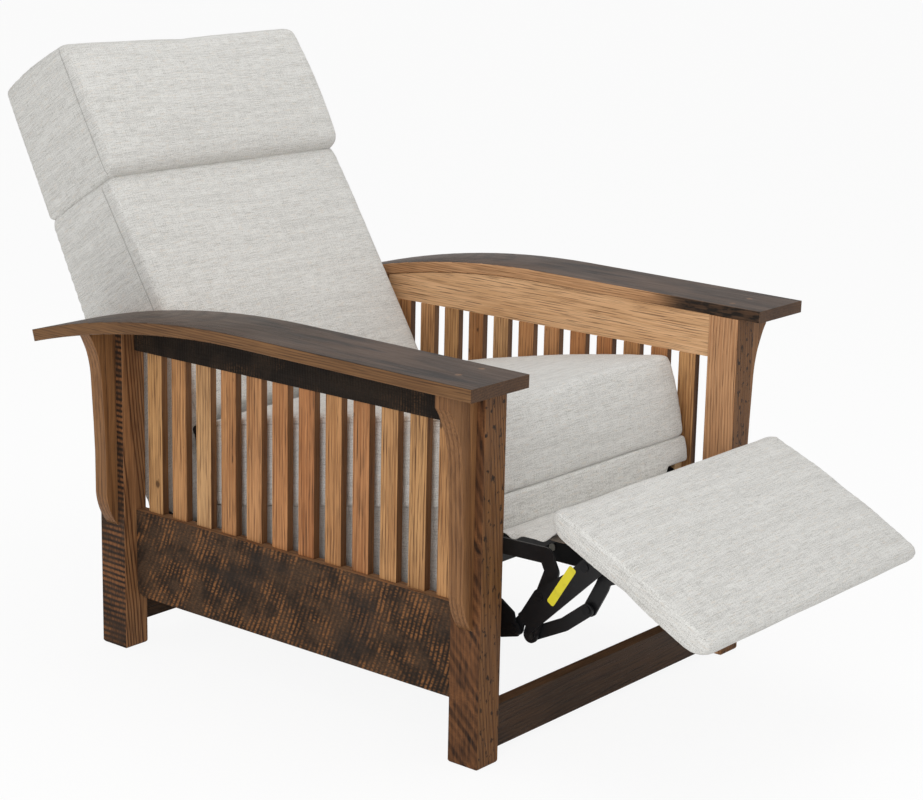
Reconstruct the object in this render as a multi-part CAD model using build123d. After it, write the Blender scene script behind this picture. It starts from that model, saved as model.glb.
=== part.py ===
from build123d import *
import os
from math import asin, cos, hypot, radians, sin

# A mission reclining armchair, drawn reclined with its footrest out, as it rests.
# Depths run rearward from the front posts' front faces, heights run up from the floor,
# and "out" is a distance from the centre plane. Lengths are in millimetres.
setback = 371.2  # from the front posts' faces to the middle of the reclined chair, where Y is 0

# Posts, stretchers and rails
post_out = 339.5
post_thick = 47.5
post_deep = 54.6
frame_deep = 785.6
foot_ease = 2.5
joint_slack = 0.15
overrun = 30.0

lower_rail_setback = 1.0
lower_rail_thick = 20.0
lower_rail_bottom = 85.5
lower_rail_top = 230.0
lower_rail_corner = 18.0
upper_rail_setback = 2.0
upper_rail_thick = 19.0
upper_rail_drop = 67.5
rail_tenon_length = 24.0
rail_tenon_thick = 9.0
rail_tenon_shoulder = 9.0

front_stretcher_front = 15.0
front_stretcher_bottom = 14.6
front_stretcher_tall = 64.8
rear_stretcher_front = 750.0
rear_stretcher_bottom = 33.0
rear_stretcher_tall = 65.0
stretcher_thick = 21.0
stretcher_tenon_length = 22.0
stretcher_shoulder = 5.0

# Slats
slat_count = 12
slat_wide = 32.0
slat_thick = 12.4
slat_front_gap = 22.4
slat_rear_gap = 22.0
slat_tenon_length = 12.0
slat_tenon_thick = 7.0
slat_tenon_cheek = 1.5
slat_shoulder = 3.0

# Arms, bent over the rear half, and the corbels under them
arm_wide = 127.0
arm_thick = 19.0
arm_front_overhang = 38.0
arm_rear_overhang = 59.4
arm_front_height = 559.5
arm_rise_angle = 0.69
arm_straight = 423.0
arm_bend_radius = 1650.0
arm_ease = 2.0
plug_radius = 5.0
plug_deep = 8.0
plug_corbel_out = 366.1
corbel_thick = 26.0
corbel_reach = 59.5
corbel_rise = 1.0
corbel_tall = 353.5
corbel_lip = 24.0
# down from the corbel's top and out from the post, as shares of its height and reach
corbel_curve_shares = ((0.0962, 0.875), (0.139, 0.745), (0.175, 0.648), (0.206, 0.588),
                       (0.266, 0.513), (0.328, 0.481))
corbel_shaft_shares = ((0.515, 0.42), (0.656, 0.387), (0.843, 0.387))
corbel_toe_share = (0.946, 0.212)

# Mechanism base: cleats on the lower rails and steel plates on the cleats
side_play = 1.0
plate_thick = 3.5
cleat_front = 60.0
cleat_rear = 725.0
cleat_bottom = 95.0
cleat_tall = 45.0
base_bar_front = 130.0
base_bar_rear = 722.0
base_bar_tall = 55.0
base_corner = 10.0
base_ear_radius = 18.0
base_ear_spread = 55.0
slot_wall = 10.0
slot_step_count = 6
slot_play = 0.6
screw_radius = 2.6
screw_head_radius = 6.5
screw_head_thick = 2.4
screw_bite = 12.0
cleat_screw_spacing = 92.0
cleat_screw_first = 150.0
cleat_screw_count = 6

# Pivots of the seat and the back
seat_pivot = (560.0, 165.0)
back_pivot = (632.0, 372.0)
seat_tilt_angle = 4.0
back_swing_angle = 16.0
guide_pin = (185.0, 200.0)
tail_pin_up = 144.0
tail_pin_rear = 114.0
big_pin_radius = 4.5
big_head_radius = 8.0
head_thick = 2.5
pivot_play = 0.1

# Seat frame, in run (rearward) and rise (up) from the seat's front lower corner
seat_corner = (81.0, 360.0)
seat_slope_angle = 11.3
seat_rail_out = 268.5
seat_rail_thick = 19.0
seat_rail_deep = 67.7
seat_rail_front = 5.0
seat_rail_rear = 505.0
front_rail_deep = 35.7
side_rail_front_bottom = 214.0
strap_thick = 2.0
strap_wide = 50.0
strap_count = 6
strap_inset = 30.0
soft_gap = 0.3
band_deep = 40.0
band_middle_wide = 430.0
band_middle_deep = 52.0
cross_bar_front = 152.0
cross_bar_bottom = 221.0
cross_bar_deep = 25.0
cross_bar_tall = 32.0
cross_bar_thick = 3.5

# run and rise of the bolts through the side rails
linkage_bolts = ((60.0, -27.0), (125.0, -27.0), (190.0, -32.0))
hinge_bolts = ((440.0, -38.0), (488.0, -38.0))
bolt_radius = 3.5
bolt_head_radius = 7.0
bolt_bite = 12.0
linkage_round = 12.0
hinge_strap_radius = 10.0
hinge_neck = (537.5, -5.0)
hinge_boss_radius = 8.0

# Seat cushion
seat_cushion_wide = 560.0
seat_cushion_run = 518.0
seat_cushion_lean = 15.4
seat_cushion_rear_rise = 91.0
seat_cushion_top_run = 495.0
seat_cushion_top_rise = 138.0
seat_cushion_nose_run = 11.0
seat_cushion_nose_rise = 131.0
seat_cushion_crown = 7.0
seat_cushion_nose_crown = 6.0
seat_cushion_rear_crown = 1.5
seat_cushion_rear_round = 11.0
seat_cushion_draw = 13.0

# Back, in up (along the back) and rear (square to it) from the back pivot
back_lean_angle = 33.0
back_wide = 530.0
back_bottom = 120.0
crease_up = 431.0
back_front = 34.0
back_crown = 5.0
back_lip_up = 20.0
back_lip_front = 32.0
back_tuck_up = 2.0
back_tuck_rear = 10.0
back_step_up = 10.0
back_step_rear = 33.0
back_skirt_rear = 41.0
back_rear_top = 113.8
back_rear_slope_angle = 5.9
back_draw = 9.0
pillow_top = 656.0
pillow_front = 56.0
pillow_nose_up = 449.0
pillow_nose_front = 53.0
pillow_crease_front = 37.0
pillow_crown = 5.0
pillow_top_crown = 3.0
pillow_round = 4.5
pillow_top_corner = 12.0
pillow_corner_bulge = 3.5
pillow_draw = 10.0
upright_thick = 22.0
upright_out = 247.0
upright_front = 27.0
upright_top = 620.0
upright_foot = 110.0
upright_foot_front = 52.0
upright_step_up = 3.0
upright_step_front = 47.0
pocket_gap = 0.7
pocket_front_gap = 2.3
back_rail_thick = 22.0
back_rail_deep = 60.0
back_mid_rail_lift = 9.0
back_strap_count = 9
back_strap_first = 45.0
back_strap_last = 575.0
panel_thick = 4.0
panel_recess = 3.0
bracket_relief = 1.2
bracket_boss_radius = 10.0
bracket_pad_radius = 15.0
# up and rear of the bracket's three bolts from the back pivot
bracket_bolts = ((30.0, 60.0), (-38.0, 76.0), (-88.0, 88.0))

# Footrest linkage: pivots in depth and height at rest, footrest out
main_pivot = (83.6, 298.48)
rear_pivot = (120.2, 231.49)
rear_wide_pivot = (17.15, 184.22)
curved_wide_pivot = (-22.09, 240.76)
curved_lower_pivot = (-2.47, 176.15)
bracket_wide_pivot = (-131.93, 319.91)
bracket_lower_pivot = (-94.96, 233.51)
link_thick = 4.0
link_gap = 3.5
link_pin_radius = 4.0
link_head_radius = 6.8
link_head_thick = 1.5
open_pivot_play = 1.5
lower_open_play = 0.6
hub_radius = 11.0
pin_end_play = 0.3

# Outline points of the links, in depth and height at rest
curved_link_elbow = (-26.0, 301.0)
curved_link_belly = (-37.0, 279.0)
curved_link_half = 12.0
wide_link_corners = ((-8.0, 182.0), (-133.0, 302.0), (-108.0, 324.0), (15.0, 206.0))
wide_link_swell = ((-70.0, 281.0), (8.0, 203.0))
wide_link_stud = (-100.0, 302.0)
rear_link_corners = ((8.6, 175.3), (17.6, 209.3), (39.9, 223.7), (112.0, 243.0),
                     (124.0, 219.5), (38.1, 167.1))
lower_link_middle = (-56.0, 203.0)
bracket_neck = (-114.0, 270.0)

# Footrest board and pad, along (forward) and lift (square to the pad) from its rear top edge
pad_edge = (-77.0, 391.0)
pad_slope_angle = 26.5
pad_wide = 565.0
pad_long = 298.0
pad_thick = 30.0
pad_edge_drop = 3.0
pad_crown = 9.0
pad_end_crown = 3.0
pad_draw = 9.0
board_inset = 10.0
board_thick = 12.0
board_lift = 28.0
bracket_foot_start = 62.0
bracket_foot_end = 138.0
bracket_flange_wide = 26.0
board_margin = 3.0
flange_screw_shares = (0.15, 0.5, 0.85)
flap_thick = 2.4
flap_tuck = 5.0
flap_droop = 22.0
flap_clearance = 10.5

# How a cushion's sections change towards its ends: place across as a share of half its width,
# then the shares of its draw-in and of its crown that the section there has.
soft_shares = ((1.0, 1.0, 0.06), (0.985, 0.55, 0.3), (0.95, 0.22, 0.6), (0.88, 0.06, 0.82),
               (0.6, 0.0, 0.96), (0.0, 0.0, 1.0))

sides = {"right": -1, "left": 1}
parts = {}


def at(point):
    """Sketch place (Y, Z) of a point given as depth and height."""
    return (point[0] - setback, point[1])


def along_slope(origin, angle, forth, lift):
    """Depth and height of a place forth and lift from an origin, on a line falling rearward."""
    turn = radians(angle)
    return (origin[0] + forth * cos(turn) + lift * sin(turn),
            origin[1] - forth * sin(turn) + lift * cos(turn))


def seat_at(run, rise):
    return along_slope(seat_corner, seat_slope_angle, run, rise)


def back_at(up, rear):
    return along_slope(back_pivot, back_lean_angle, rear, up)


def pad_at(forward, lift):
    return along_slope(pad_edge, -pad_slope_angle, -forward, lift)


def turned(point, pivot, angle):
    """A depth and height point turned about a pivot, positive lifting what lies rearward."""
    turn = radians(angle)
    dy, dz = point[0] - pivot[0], point[1] - pivot[1]
    return (pivot[0] + dy * cos(turn) - dz * sin(turn), pivot[1] + dy * sin(turn) + dz * cos(turn))


def outline(points):
    return make_face(Polyline(*[at(p) for p in points], close=True))


def box_outline(front, rear, bottom, top):
    return outline(((front, bottom), (rear, bottom), (rear, top), (front, top)))


def disc(point, radius):
    return Pos(*at(point)) * Circle(radius)


def hull(*rounds):
    """The tight outline round several (point, radius) discs."""
    edges = []
    for point, radius in rounds:
        edges += disc(point, radius).edges()
    return make_hull(edges)


def strap(points, radius):
    """A bar of even width whose centre line runs through the points."""
    shape = hull((points[0], radius), (points[1], radius))
    for first, second in zip(points[1:], points[2:]):
        shape += hull((first, radius), (second, radius))
    return shape


def plate(shape, inner, outer, side):
    """A sketch of the side view given thickness between two distances from the centre plane."""
    low = min(side * inner, side * outer)
    return extrude(Plane.YZ.offset(low) * shape, amount=outer - inner, dir=(1, 0, 0))


def across(shape, half):
    return extrude(Plane.YZ.offset(-half) * shape, amount=2 * half, dir=(1, 0, 0))


def rod(point, radius, inner, outer, side):
    return plate(disc(point, radius), inner, outer, side)


def group(solids):
    return Compound(children=[s for part in solids for s in part.solids()])


def bulged(start, end, bulge):
    """An edge from start to end that stands out by bulge to its right; straight when bulge is 0."""
    if bulge == 0:
        return Line(at(start), at(end))
    dy, dz = end[0] - start[0], end[1] - start[1]
    span = hypot(dy, dz)
    middle = ((start[0] + end[0]) / 2 + bulge * dz / span, (start[1] + end[1]) / 2 - bulge * dy / span)
    return ThreePointArc(at(start), at(middle), at(end))


def cushion(corners, bulges, half, draw):
    """A loft across the chair through side views that draw in and flatten towards the ends."""
    centre = (sum(c[0] for c in corners) / len(corners), sum(c[1] for c in corners) / len(corners))
    stations = [(-s, d, c) for s, d, c in soft_shares] + [s for s in reversed(soft_shares[:-1])]
    sections = []
    for place, draw_share, crown_share in stations:
        points = []
        for y, z in corners:
            reach = hypot(centre[0] - y, centre[1] - z)
            pull = draw * draw_share / reach
            points.append((y + (centre[0] - y) * pull, z + (centre[1] - z) * pull))
        edges = []
        for i, bulge in enumerate(bulges):
            edges.append(bulged(points[i], points[(i + 1) % len(points)], bulge * crown_share))
        sections.append(Plane.YZ.offset(place * half) * make_face(edges))
    return loft(sections, ruled=True)


# Arms, and the cutter that trims what meets them from below
arm_slope = radians(arm_rise_angle)
arm_start = (-arm_front_overhang, arm_front_height)
bend_start = (arm_start[0] + arm_straight * cos(arm_slope),
              arm_start[1] + arm_straight * sin(arm_slope))
bend_centre = (bend_start[0] + arm_bend_radius * sin(arm_slope),
               bend_start[1] - arm_bend_radius * cos(arm_slope))
arm_rear = frame_deep + arm_rear_overhang
bend_end = asin((arm_rear - bend_centre[0]) / arm_bend_radius)
post_in = post_out - post_thick


def bend_at(radius, angle):
    return (bend_centre[0] + radius * sin(angle), bend_centre[1] + radius * cos(angle))


def arm_outline(lift):
    """Front end, bend start, bend middle and rear end of the arm's curve, lifted square to it."""
    radius = arm_bend_radius + lift
    front = (arm_start[0] - lift * sin(arm_slope), arm_start[1] + lift * cos(arm_slope))
    middle = (bend_end - arm_slope) / 2
    return front, bend_at(radius, -arm_slope), bend_at(radius, middle), bend_at(radius, bend_end)


def arm_band(low, high):
    a, b, c, d = [at(p) for p in arm_outline(low)]
    e, f, g, h = [at(p) for p in arm_outline(high)]
    return make_face([Line(a, b), ThreePointArc(b, c, d), Line(d, h), ThreePointArc(h, g, f),
                      Line(f, e), Line(e, a)])


arm_trim = across(arm_band(0, overrun * 3), post_out + arm_wide)
raw_top = arm_front_height + arm_thick
front_post_middle = post_deep / 2
rear_post_middle = frame_deep - post_deep / 2

plugs = []
for name, side in sides.items():
    arm = plate(arm_band(0, arm_thick), post_in, post_in + arm_wide, side)
    rims = arm.edges().group_by(Axis.X)
    arm = fillet(rims[0] + rims[-1], arm_ease)
    whole = arm
    for out in (post_out - post_thick / 2, plug_corbel_out):
        top = arm_front_height + arm_thick * 2
        drill = Pos(side * out, front_post_middle - setback, top) * Cylinder(
            plug_radius, arm_thick + plug_deep, align=(Align.CENTER, Align.CENTER, Align.MAX))
        plugs.append(whole & drill)
        arm -= drill
    parts["arm_" + name] = arm
parts["arm_plugs"] = group(plugs)

# Rails, posts and stretchers
rail_front, rail_rear = post_deep, frame_deep - post_deep
upper_rail_bottom = arm_front_height - upper_rail_drop
lower_rail_in = post_in + lower_rail_setback
upper_rail_in = post_in + upper_rail_setback
slat_out = lower_rail_in + slat_thick
tenon_out = slat_out - slat_tenon_cheek
tenon_in = tenon_out - slat_tenon_thick
slat_first = rail_front + slat_front_gap
slat_pitch = (rail_rear - slat_rear_gap - slat_wide - slat_first) / (slat_count - 1)
slat_fronts = [slat_first + slat_pitch * i for i in range(slat_count)]


def tenon_box(front, rear, bottom, top, thick_in, side, slack):
    shape = box_outline(front - slack, rear + slack, bottom - slack, top + slack)
    return plate(shape, thick_in - slack, thick_in + rail_tenon_thick + slack, side)


def arm_height(depth):
    """Height of the arm's underside over a place on its straight or bent part."""
    if depth < bend_start[0]:
        return arm_start[1] + (depth - arm_start[0]) * sin(arm_slope) / cos(arm_slope)
    reach = depth - bend_centre[0]
    return bend_centre[1] + arm_bend_radius * cos(asin(reach / arm_bend_radius))


lower_tenon_in = lower_rail_in + (lower_rail_thick - rail_tenon_thick) / 2
upper_tenon_in = upper_rail_in + (upper_rail_thick - rail_tenon_thick) / 2
rail_tenons = []
for thick_in, bottom, tops in (
        (lower_tenon_in, lower_rail_bottom, (lower_rail_top, lower_rail_top)),
        (upper_tenon_in, upper_rail_bottom,
         (arm_height(rail_front), arm_height(frame_deep) - rail_tenon_shoulder / 2))):
    low = bottom + rail_tenon_shoulder
    rail_tenons.append((rail_front - rail_tenon_length, rail_front, low,
                        tops[0] - rail_tenon_shoulder, thick_in))
    rail_tenons.append((rail_rear, rail_rear + rail_tenon_length, low,
                        tops[1] - rail_tenon_shoulder, thick_in))

front_bar = (front_stretcher_front, front_stretcher_bottom, front_stretcher_tall)
rear_bar = (rear_stretcher_front, rear_stretcher_bottom, rear_stretcher_tall)


def stretcher_tenon(bar, slack):
    front, bottom, tall = bar
    return box_outline(front + stretcher_shoulder - slack,
                       front + stretcher_thick - stretcher_shoulder + slack,
                       bottom + stretcher_shoulder * 2 - slack,
                       bottom + tall - stretcher_shoulder * 2 + slack)


for label, bar in (("front_stretcher", front_bar), ("rear_stretcher", rear_bar)):
    front, bottom, tall = bar
    body = across(box_outline(front, front + stretcher_thick, bottom, bottom + tall), post_in)
    parts[label] = body + across(stretcher_tenon(bar, 0), post_in + stretcher_tenon_length)

for name, side in sides.items():
    for label, front, bar in (("front", 0, front_bar), ("rear", frame_deep - post_deep, rear_bar)):
        post = plate(box_outline(front, front + post_deep, 0, raw_top), post_in, post_out, side)
        post = chamfer(post.faces().sort_by(Axis.Z)[0].edges(), foot_ease)
        post -= arm_trim
        for tenon in rail_tenons:
            post -= tenon_box(*tenon, side, joint_slack)
        hole = stretcher_tenon(bar, joint_slack)
        post -= plate(hole, post_in - overrun, post_in + stretcher_tenon_length + joint_slack, side)
        parts["post_" + label + "_" + name] = post

    lower_outline = box_outline(rail_front, rail_rear, lower_rail_bottom, lower_rail_top)
    lower = plate(lower_outline, lower_rail_in, lower_rail_in + lower_rail_thick, side)
    heel = lower.edges().filter_by(Axis.X).group_by(Axis.Y)[-1].sort_by(Axis.Z)[0]
    lower = fillet(heel, lower_rail_corner)
    upper_outline = box_outline(rail_front, rail_rear, upper_rail_bottom, raw_top)
    upper = plate(upper_outline, upper_rail_in, upper_rail_in + upper_rail_thick, side) - arm_trim
    for tenon in rail_tenons[:2]:
        lower += tenon_box(*tenon, side, 0)
    for tenon in rail_tenons[2:]:
        upper += tenon_box(*tenon, side, 0)
    slats = []
    for start in slat_fronts:
        end = start + slat_wide
        slat = plate(box_outline(start, end, lower_rail_top, upper_rail_bottom),
                     lower_rail_in, slat_out, side)
        low, high = lower_rail_top - slat_tenon_length, upper_rail_bottom + slat_tenon_length
        tenon = box_outline(start + slat_shoulder, end - slat_shoulder, low, high)
        socket = box_outline(start + slat_shoulder - joint_slack, end - slat_shoulder + joint_slack,
                             low - joint_slack, high + joint_slack)
        slats.append(slat + plate(tenon, tenon_in, tenon_out, side))
        cut = plate(socket, tenon_in - joint_slack, tenon_out + joint_slack, side)
        lower -= cut
        upper -= cut
    parts["lower_rail_" + name] = lower
    parts["upper_rail_" + name] = upper
    parts["slats_" + name] = group(slats)

    corbels = []
    top = arm_front_height + corbel_rise
    for middle in (front_post_middle, rear_post_middle):
        def out_at(shares):
            return (side * (post_out + corbel_reach * shares[1]), top - corbel_tall * shares[0])
        curve = [(side * (post_out + corbel_reach), top - corbel_lip)]
        curve += [out_at(s) for s in corbel_curve_shares]
        shaft = [curve[-1]] + [out_at(s) for s in corbel_shaft_shares]
        foot = (side * post_out, top - corbel_tall)
        head = (side * post_out, top + arm_thick)
        tip = (side * (post_out + corbel_reach), top + arm_thick)
        shape = make_face([Line(head, tip), Line(tip, curve[0]), Spline(curve), Polyline(shaft),
                           ThreePointArc(shaft[-1], out_at(corbel_toe_share), foot),
                           Line(foot, head)])
        place = Plane.XZ.offset(setback - middle + corbel_thick / 2)
        corbels.append(extrude(place * shape, amount=corbel_thick, dir=(0, 1, 0)) - arm_trim)
    parts["corbels_" + name] = group(corbels)

# Places of the mechanism's layers, from the seat rails' outer faces
linkage_plate_out = seat_rail_out - seat_rail_thick
linkage_plate_in = linkage_plate_out - plate_thick
hinge_plate_out = seat_rail_out + plate_thick
base_plate_in = hinge_plate_out + side_play
base_plate_out = base_plate_in + plate_thick


def layer(number):
    """Inner and outer face of a link's layer, counted inward from the linkage plate."""
    outer = linkage_plate_in - link_gap - number * (link_thick + link_gap)
    return outer - link_thick, outer


rear_in, rear_out = layer(0)
wide_in, wide_out = layer(1)
curved_in, curved_out = layer(2)
lower_in, lower_out = layer(3)
foot_in, foot_out = layer(4)

tail_pin = back_at(-tail_pin_up, tail_pin_rear)


def tail_path(share):
    swung = turned(tail_pin, back_pivot, back_swing_angle * share)
    return turned(swung, seat_pivot, seat_tilt_angle * share)


def guide_path(share):
    return turned(guide_pin, seat_pivot, seat_tilt_angle * share)


def slot(path, half):
    """A slot along a path, made of short straight stretches with round joints."""
    steps = [path(i / slot_step_count) for i in range(slot_step_count + 1)]
    return strap(steps, half)


tail_slot_half = big_pin_radius + slot_play
tail_wall = tail_slot_half + slot_wall

base_bar_top = cleat_bottom + base_bar_tall
base_shape = box_outline(base_bar_front, base_bar_rear, cleat_bottom, base_bar_top)
base_shape = fillet(base_shape.vertices(), base_corner)
ear_foot = cleat_bottom + base_ear_radius
base_shape += hull((seat_pivot, base_ear_radius),
                   ((seat_pivot[0] - base_ear_spread, ear_foot), base_ear_radius),
                   ((seat_pivot[0] + base_ear_spread, ear_foot), base_ear_radius))
base_shape += hull((guide_path(0), tail_wall), (guide_path(1), tail_wall),
                   ((guide_pin[0], ear_foot), base_ear_radius))
base_shape += hull((tail_path(0), tail_wall), (tail_path(0.5), tail_wall), (tail_path(1), tail_wall),
                   ((tail_path(0)[0], ear_foot), base_ear_radius),
                   ((tail_path(1)[0], ear_foot), base_ear_radius))
base_shape -= slot(tail_path, tail_slot_half)
base_shape -= slot(guide_path, tail_slot_half)
base_shape -= disc(seat_pivot, big_pin_radius)
screw_height = cleat_bottom + cleat_tall / 2
screw_places = [(cleat_screw_first + cleat_screw_spacing * i, screw_height)
                for i in range(cleat_screw_count)]
for place in screw_places:
    base_shape -= disc(place, screw_radius)

seat_pins, pivot_pins, cleat_screws, rail_bolts, base_plates = [], [], [], [], {}
cleat_shape = box_outline(cleat_front, cleat_rear, cleat_bottom, cleat_bottom + cleat_tall)
for place in screw_places:
    cleat_shape -= disc(place, screw_radius)
for name, side in sides.items():
    parts["cleat_" + name] = plate(cleat_shape, base_plate_out, lower_rail_in, side)
    parts["base_plate_" + name] = plate(base_shape, base_plate_in, base_plate_out, side)
    for place in screw_places:
        cleat_screws.append(rod(place, screw_radius, base_plate_in, lower_rail_in + screw_bite, side)
                            + rod(place, screw_head_radius, base_plate_in - screw_head_thick,
                                  base_plate_in, side))
        parts["lower_rail_" + name] -= rod(place, screw_radius, post_in,
                                           lower_rail_in + screw_bite, side)
    pivot_pins.append(rod(seat_pivot, big_pin_radius, seat_rail_out - pin_end_play,
                          base_plate_out, side)
                      + rod(seat_pivot, big_head_radius, seat_rail_out - pin_end_play - head_thick,
                            seat_rail_out - pin_end_play, side)
                      + rod(seat_pivot, big_head_radius, base_plate_out,
                            base_plate_out + head_thick, side))
parts["cleat_screws"] = group(cleat_screws)
parts["seat_pivot_pins"] = group(pivot_pins)

# Seat frame
rail_top = -strap_thick - soft_gap
rail_foot = rail_top - seat_rail_deep
nose_foot = rail_top - front_rail_deep
rail_nose = seat_at(seat_rail_front, nose_foot)
side_rail_shape = outline((seat_at(seat_rail_front, rail_top), seat_at(seat_rail_rear, rail_top),
                           seat_at(seat_rail_rear, rail_foot), (rail_nose[0], side_rail_front_bottom),
                           rail_nose))


def seat_box(front, rear, bottom, top):
    return outline([seat_at(*p) for p in ((front, bottom), (rear, bottom), (rear, top), (front, top))])


front_rail_shape = seat_box(seat_rail_front, seat_rail_front + seat_rail_thick, nose_foot, rail_top)
rear_rail_shape = seat_box(seat_rail_rear - seat_rail_thick, seat_rail_rear, rail_foot, rail_top)
parts["seat_front_rail"] = across(front_rail_shape, linkage_plate_out)
parts["seat_rear_rail"] = across(rear_rail_shape, linkage_plate_out)


def bolted(point, side, face, outward):
    """A bolt biting into wood from a face, its head standing out from that face."""
    if outward:
        return (rod(point, bolt_radius, face - plate_thick - bolt_bite, face, side)
                + rod(point, bolt_head_radius, face, face + head_thick, side))
    return (rod(point, bolt_radius, face, face + plate_thick + bolt_bite, side)
            + rod(point, bolt_head_radius, face - head_thick, face, side))


linkage_bolt_places = [seat_at(*p) for p in linkage_bolts]
hinge_bolt_places = [seat_at(*p) for p in hinge_bolts]
bar_rear = cross_bar_front + cross_bar_deep
bar_top = cross_bar_bottom + cross_bar_tall
rail_end = linkage_bolt_places[-1]
linkage_shape = hull((main_pivot, linkage_round), (linkage_bolt_places[0], linkage_round),
                     (rail_end, linkage_round))
linkage_shape += hull((main_pivot, linkage_round), (rear_pivot, linkage_round),
                      (guide_pin, linkage_round), (linkage_bolt_places[1], linkage_round))
linkage_shape -= seat_box(-overrun, seat_rail_front + seat_rail_thick + joint_slack,
                          nose_foot - joint_slack, overrun)
for place in linkage_bolt_places:
    linkage_shape -= disc(place, bolt_radius)
linkage_shape -= disc(main_pivot, link_pin_radius)
linkage_shape -= disc(rear_pivot, link_pin_radius)
linkage_shape -= disc(guide_pin, big_pin_radius)

hinge_neck_place = seat_at(*hinge_neck)
hinge_shape = hull((hinge_bolt_places[0], linkage_round), (hinge_bolt_places[1], linkage_round),
                   (seat_pivot, linkage_round))
hinge_shape += hull((hinge_bolt_places[1], linkage_round), (seat_pivot, linkage_round),
                    (hinge_neck_place, hinge_strap_radius))
hinge_shape += hull((hinge_neck_place, hinge_strap_radius), (back_pivot, hinge_boss_radius))
hinge_shape -= disc(seat_pivot, big_pin_radius + pivot_play)
hinge_shape -= disc(back_pivot, big_pin_radius)
for place in hinge_bolt_places:
    hinge_shape -= disc(place, bolt_radius)

linkage_plates, hinge_plates = [], []
for name, side in sides.items():
    rail = plate(side_rail_shape, linkage_plate_out, seat_rail_out, side)
    linkage_plates.append(plate(linkage_shape, linkage_plate_in, linkage_plate_out, side))
    hinge_plates.append(plate(hinge_shape, seat_rail_out, hinge_plate_out, side))
    for place in linkage_bolt_places:
        bolt = bolted(place, side, linkage_plate_in, False)
        rail_bolts.append(bolt)
        rail -= bolt
    for place in hinge_bolt_places:
        bolt = bolted(place, side, hinge_plate_out, True)
        rail_bolts.append(bolt)
        rail -= bolt
    parts["seat_side_rail_" + name] = rail
    collar = curved_out + pin_end_play
    seat_pins.append(rod(main_pivot, link_pin_radius, curved_in - pin_end_play,
                         linkage_plate_out, side)
                     + rod(main_pivot, link_head_radius, collar, linkage_plate_in, side)
                     + rod(main_pivot, link_head_radius, curved_in - pin_end_play - link_head_thick,
                           curved_in - pin_end_play, side))
    seat_pins.append(rod(rear_pivot, link_pin_radius, rear_in - pin_end_play,
                         linkage_plate_out, side)
                     + rod(rear_pivot, link_head_radius, rear_out + pin_end_play,
                           linkage_plate_in, side)
                     + rod(rear_pivot, link_head_radius, rear_in - pin_end_play - link_head_thick,
                           rear_in - pin_end_play, side))
    seat_pins.append(rod(guide_pin, big_pin_radius, linkage_plate_in,
                         base_plate_out + side_play, side)
                     + rod(guide_pin, big_head_radius, linkage_plate_out,
                           linkage_plate_out + head_thick, side)
                     + rod(guide_pin, big_head_radius, base_plate_out + side_play,
                           base_plate_out + side_play + head_thick, side))
parts["linkage_plates"] = group(linkage_plates)
parts["hinge_plates"] = group(hinge_plates)
parts["rail_bolts"] = group(rail_bolts)

bar_shape = box_outline(cross_bar_front, cross_bar_front + cross_bar_thick,
                        cross_bar_bottom, bar_top)
bar_shape += box_outline(cross_bar_front, bar_rear, bar_top - cross_bar_thick, bar_top)
parts["cross_bar"] = across(bar_shape, linkage_plate_in)

strap_front, strap_rear = seat_rail_front, seat_rail_rear
strap_span = linkage_plate_out - strap_inset - strap_wide / 2
webs = []
for i in range(strap_count):
    middle = -strap_span + 2 * strap_span * i / (strap_count - 1)
    web = seat_box(strap_front, strap_rear, rail_top, rail_top + strap_thick)
    webs.append(extrude(Plane.YZ.offset(middle - strap_wide / 2) * web, amount=strap_wide,
                        dir=(1, 0, 0)))
parts["seat_webbing"] = group(webs)

band_shape = seat_box(0, seat_rail_front, -band_deep, 0)
band_low = seat_box(0, seat_rail_front, -band_middle_deep, -band_deep)
parts["seat_front_band"] = (across(band_shape, seat_cushion_wide / 2)
                            + across(band_low, band_middle_wide / 2))

seat_corners = [seat_at(*p) for p in (
    (0, soft_gap), (seat_cushion_run, soft_gap),
    (seat_cushion_run + seat_cushion_lean, seat_cushion_rear_rise),
    (seat_cushion_top_run, seat_cushion_top_rise),
    (seat_cushion_nose_run, seat_cushion_nose_rise))]
seat_bulges = (0, seat_cushion_rear_crown, seat_cushion_rear_round, seat_cushion_crown,
               seat_cushion_nose_crown)
parts["seat_cushion"] = cushion(seat_corners, seat_bulges, seat_cushion_wide / 2,
                                seat_cushion_draw)

# Back
rear_fall = radians(back_rear_slope_angle)


def rear_line(up, inside=0):
    """How far rear the back's flat rear face lies at a height up the back."""
    slope = sin(rear_fall) / cos(rear_fall)
    return back_rear_top + (pillow_top - up) * slope - inside


def back_outline(points):
    return outline([back_at(*p) for p in points])


panel_rear = panel_recess
panel_front = panel_recess + panel_thick
upright_shape = back_outline((
    (upright_top, upright_front), (back_step_up, upright_front),
    (-upright_step_up, upright_step_front), (-upright_foot, upright_foot_front),
    (-upright_foot, rear_line(-upright_foot, panel_front)),
    (upright_top, rear_line(upright_top, panel_front))))
panel_shape = back_outline((
    (upright_top, rear_line(upright_top, panel_front)), (upright_top, rear_line(upright_top, panel_rear)),
    (-upright_foot, rear_line(-upright_foot, panel_rear)),
    (-upright_foot, rear_line(-upright_foot, panel_front))))
parts["back_panel"] = across(panel_shape, upright_out)


def back_rail(top, front):
    return across(back_outline(((top, front), (top - back_rail_thick, front),
                                (top - back_rail_thick, front + back_rail_deep),
                                (top, front + back_rail_deep))), upright_out - upright_thick)


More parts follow.
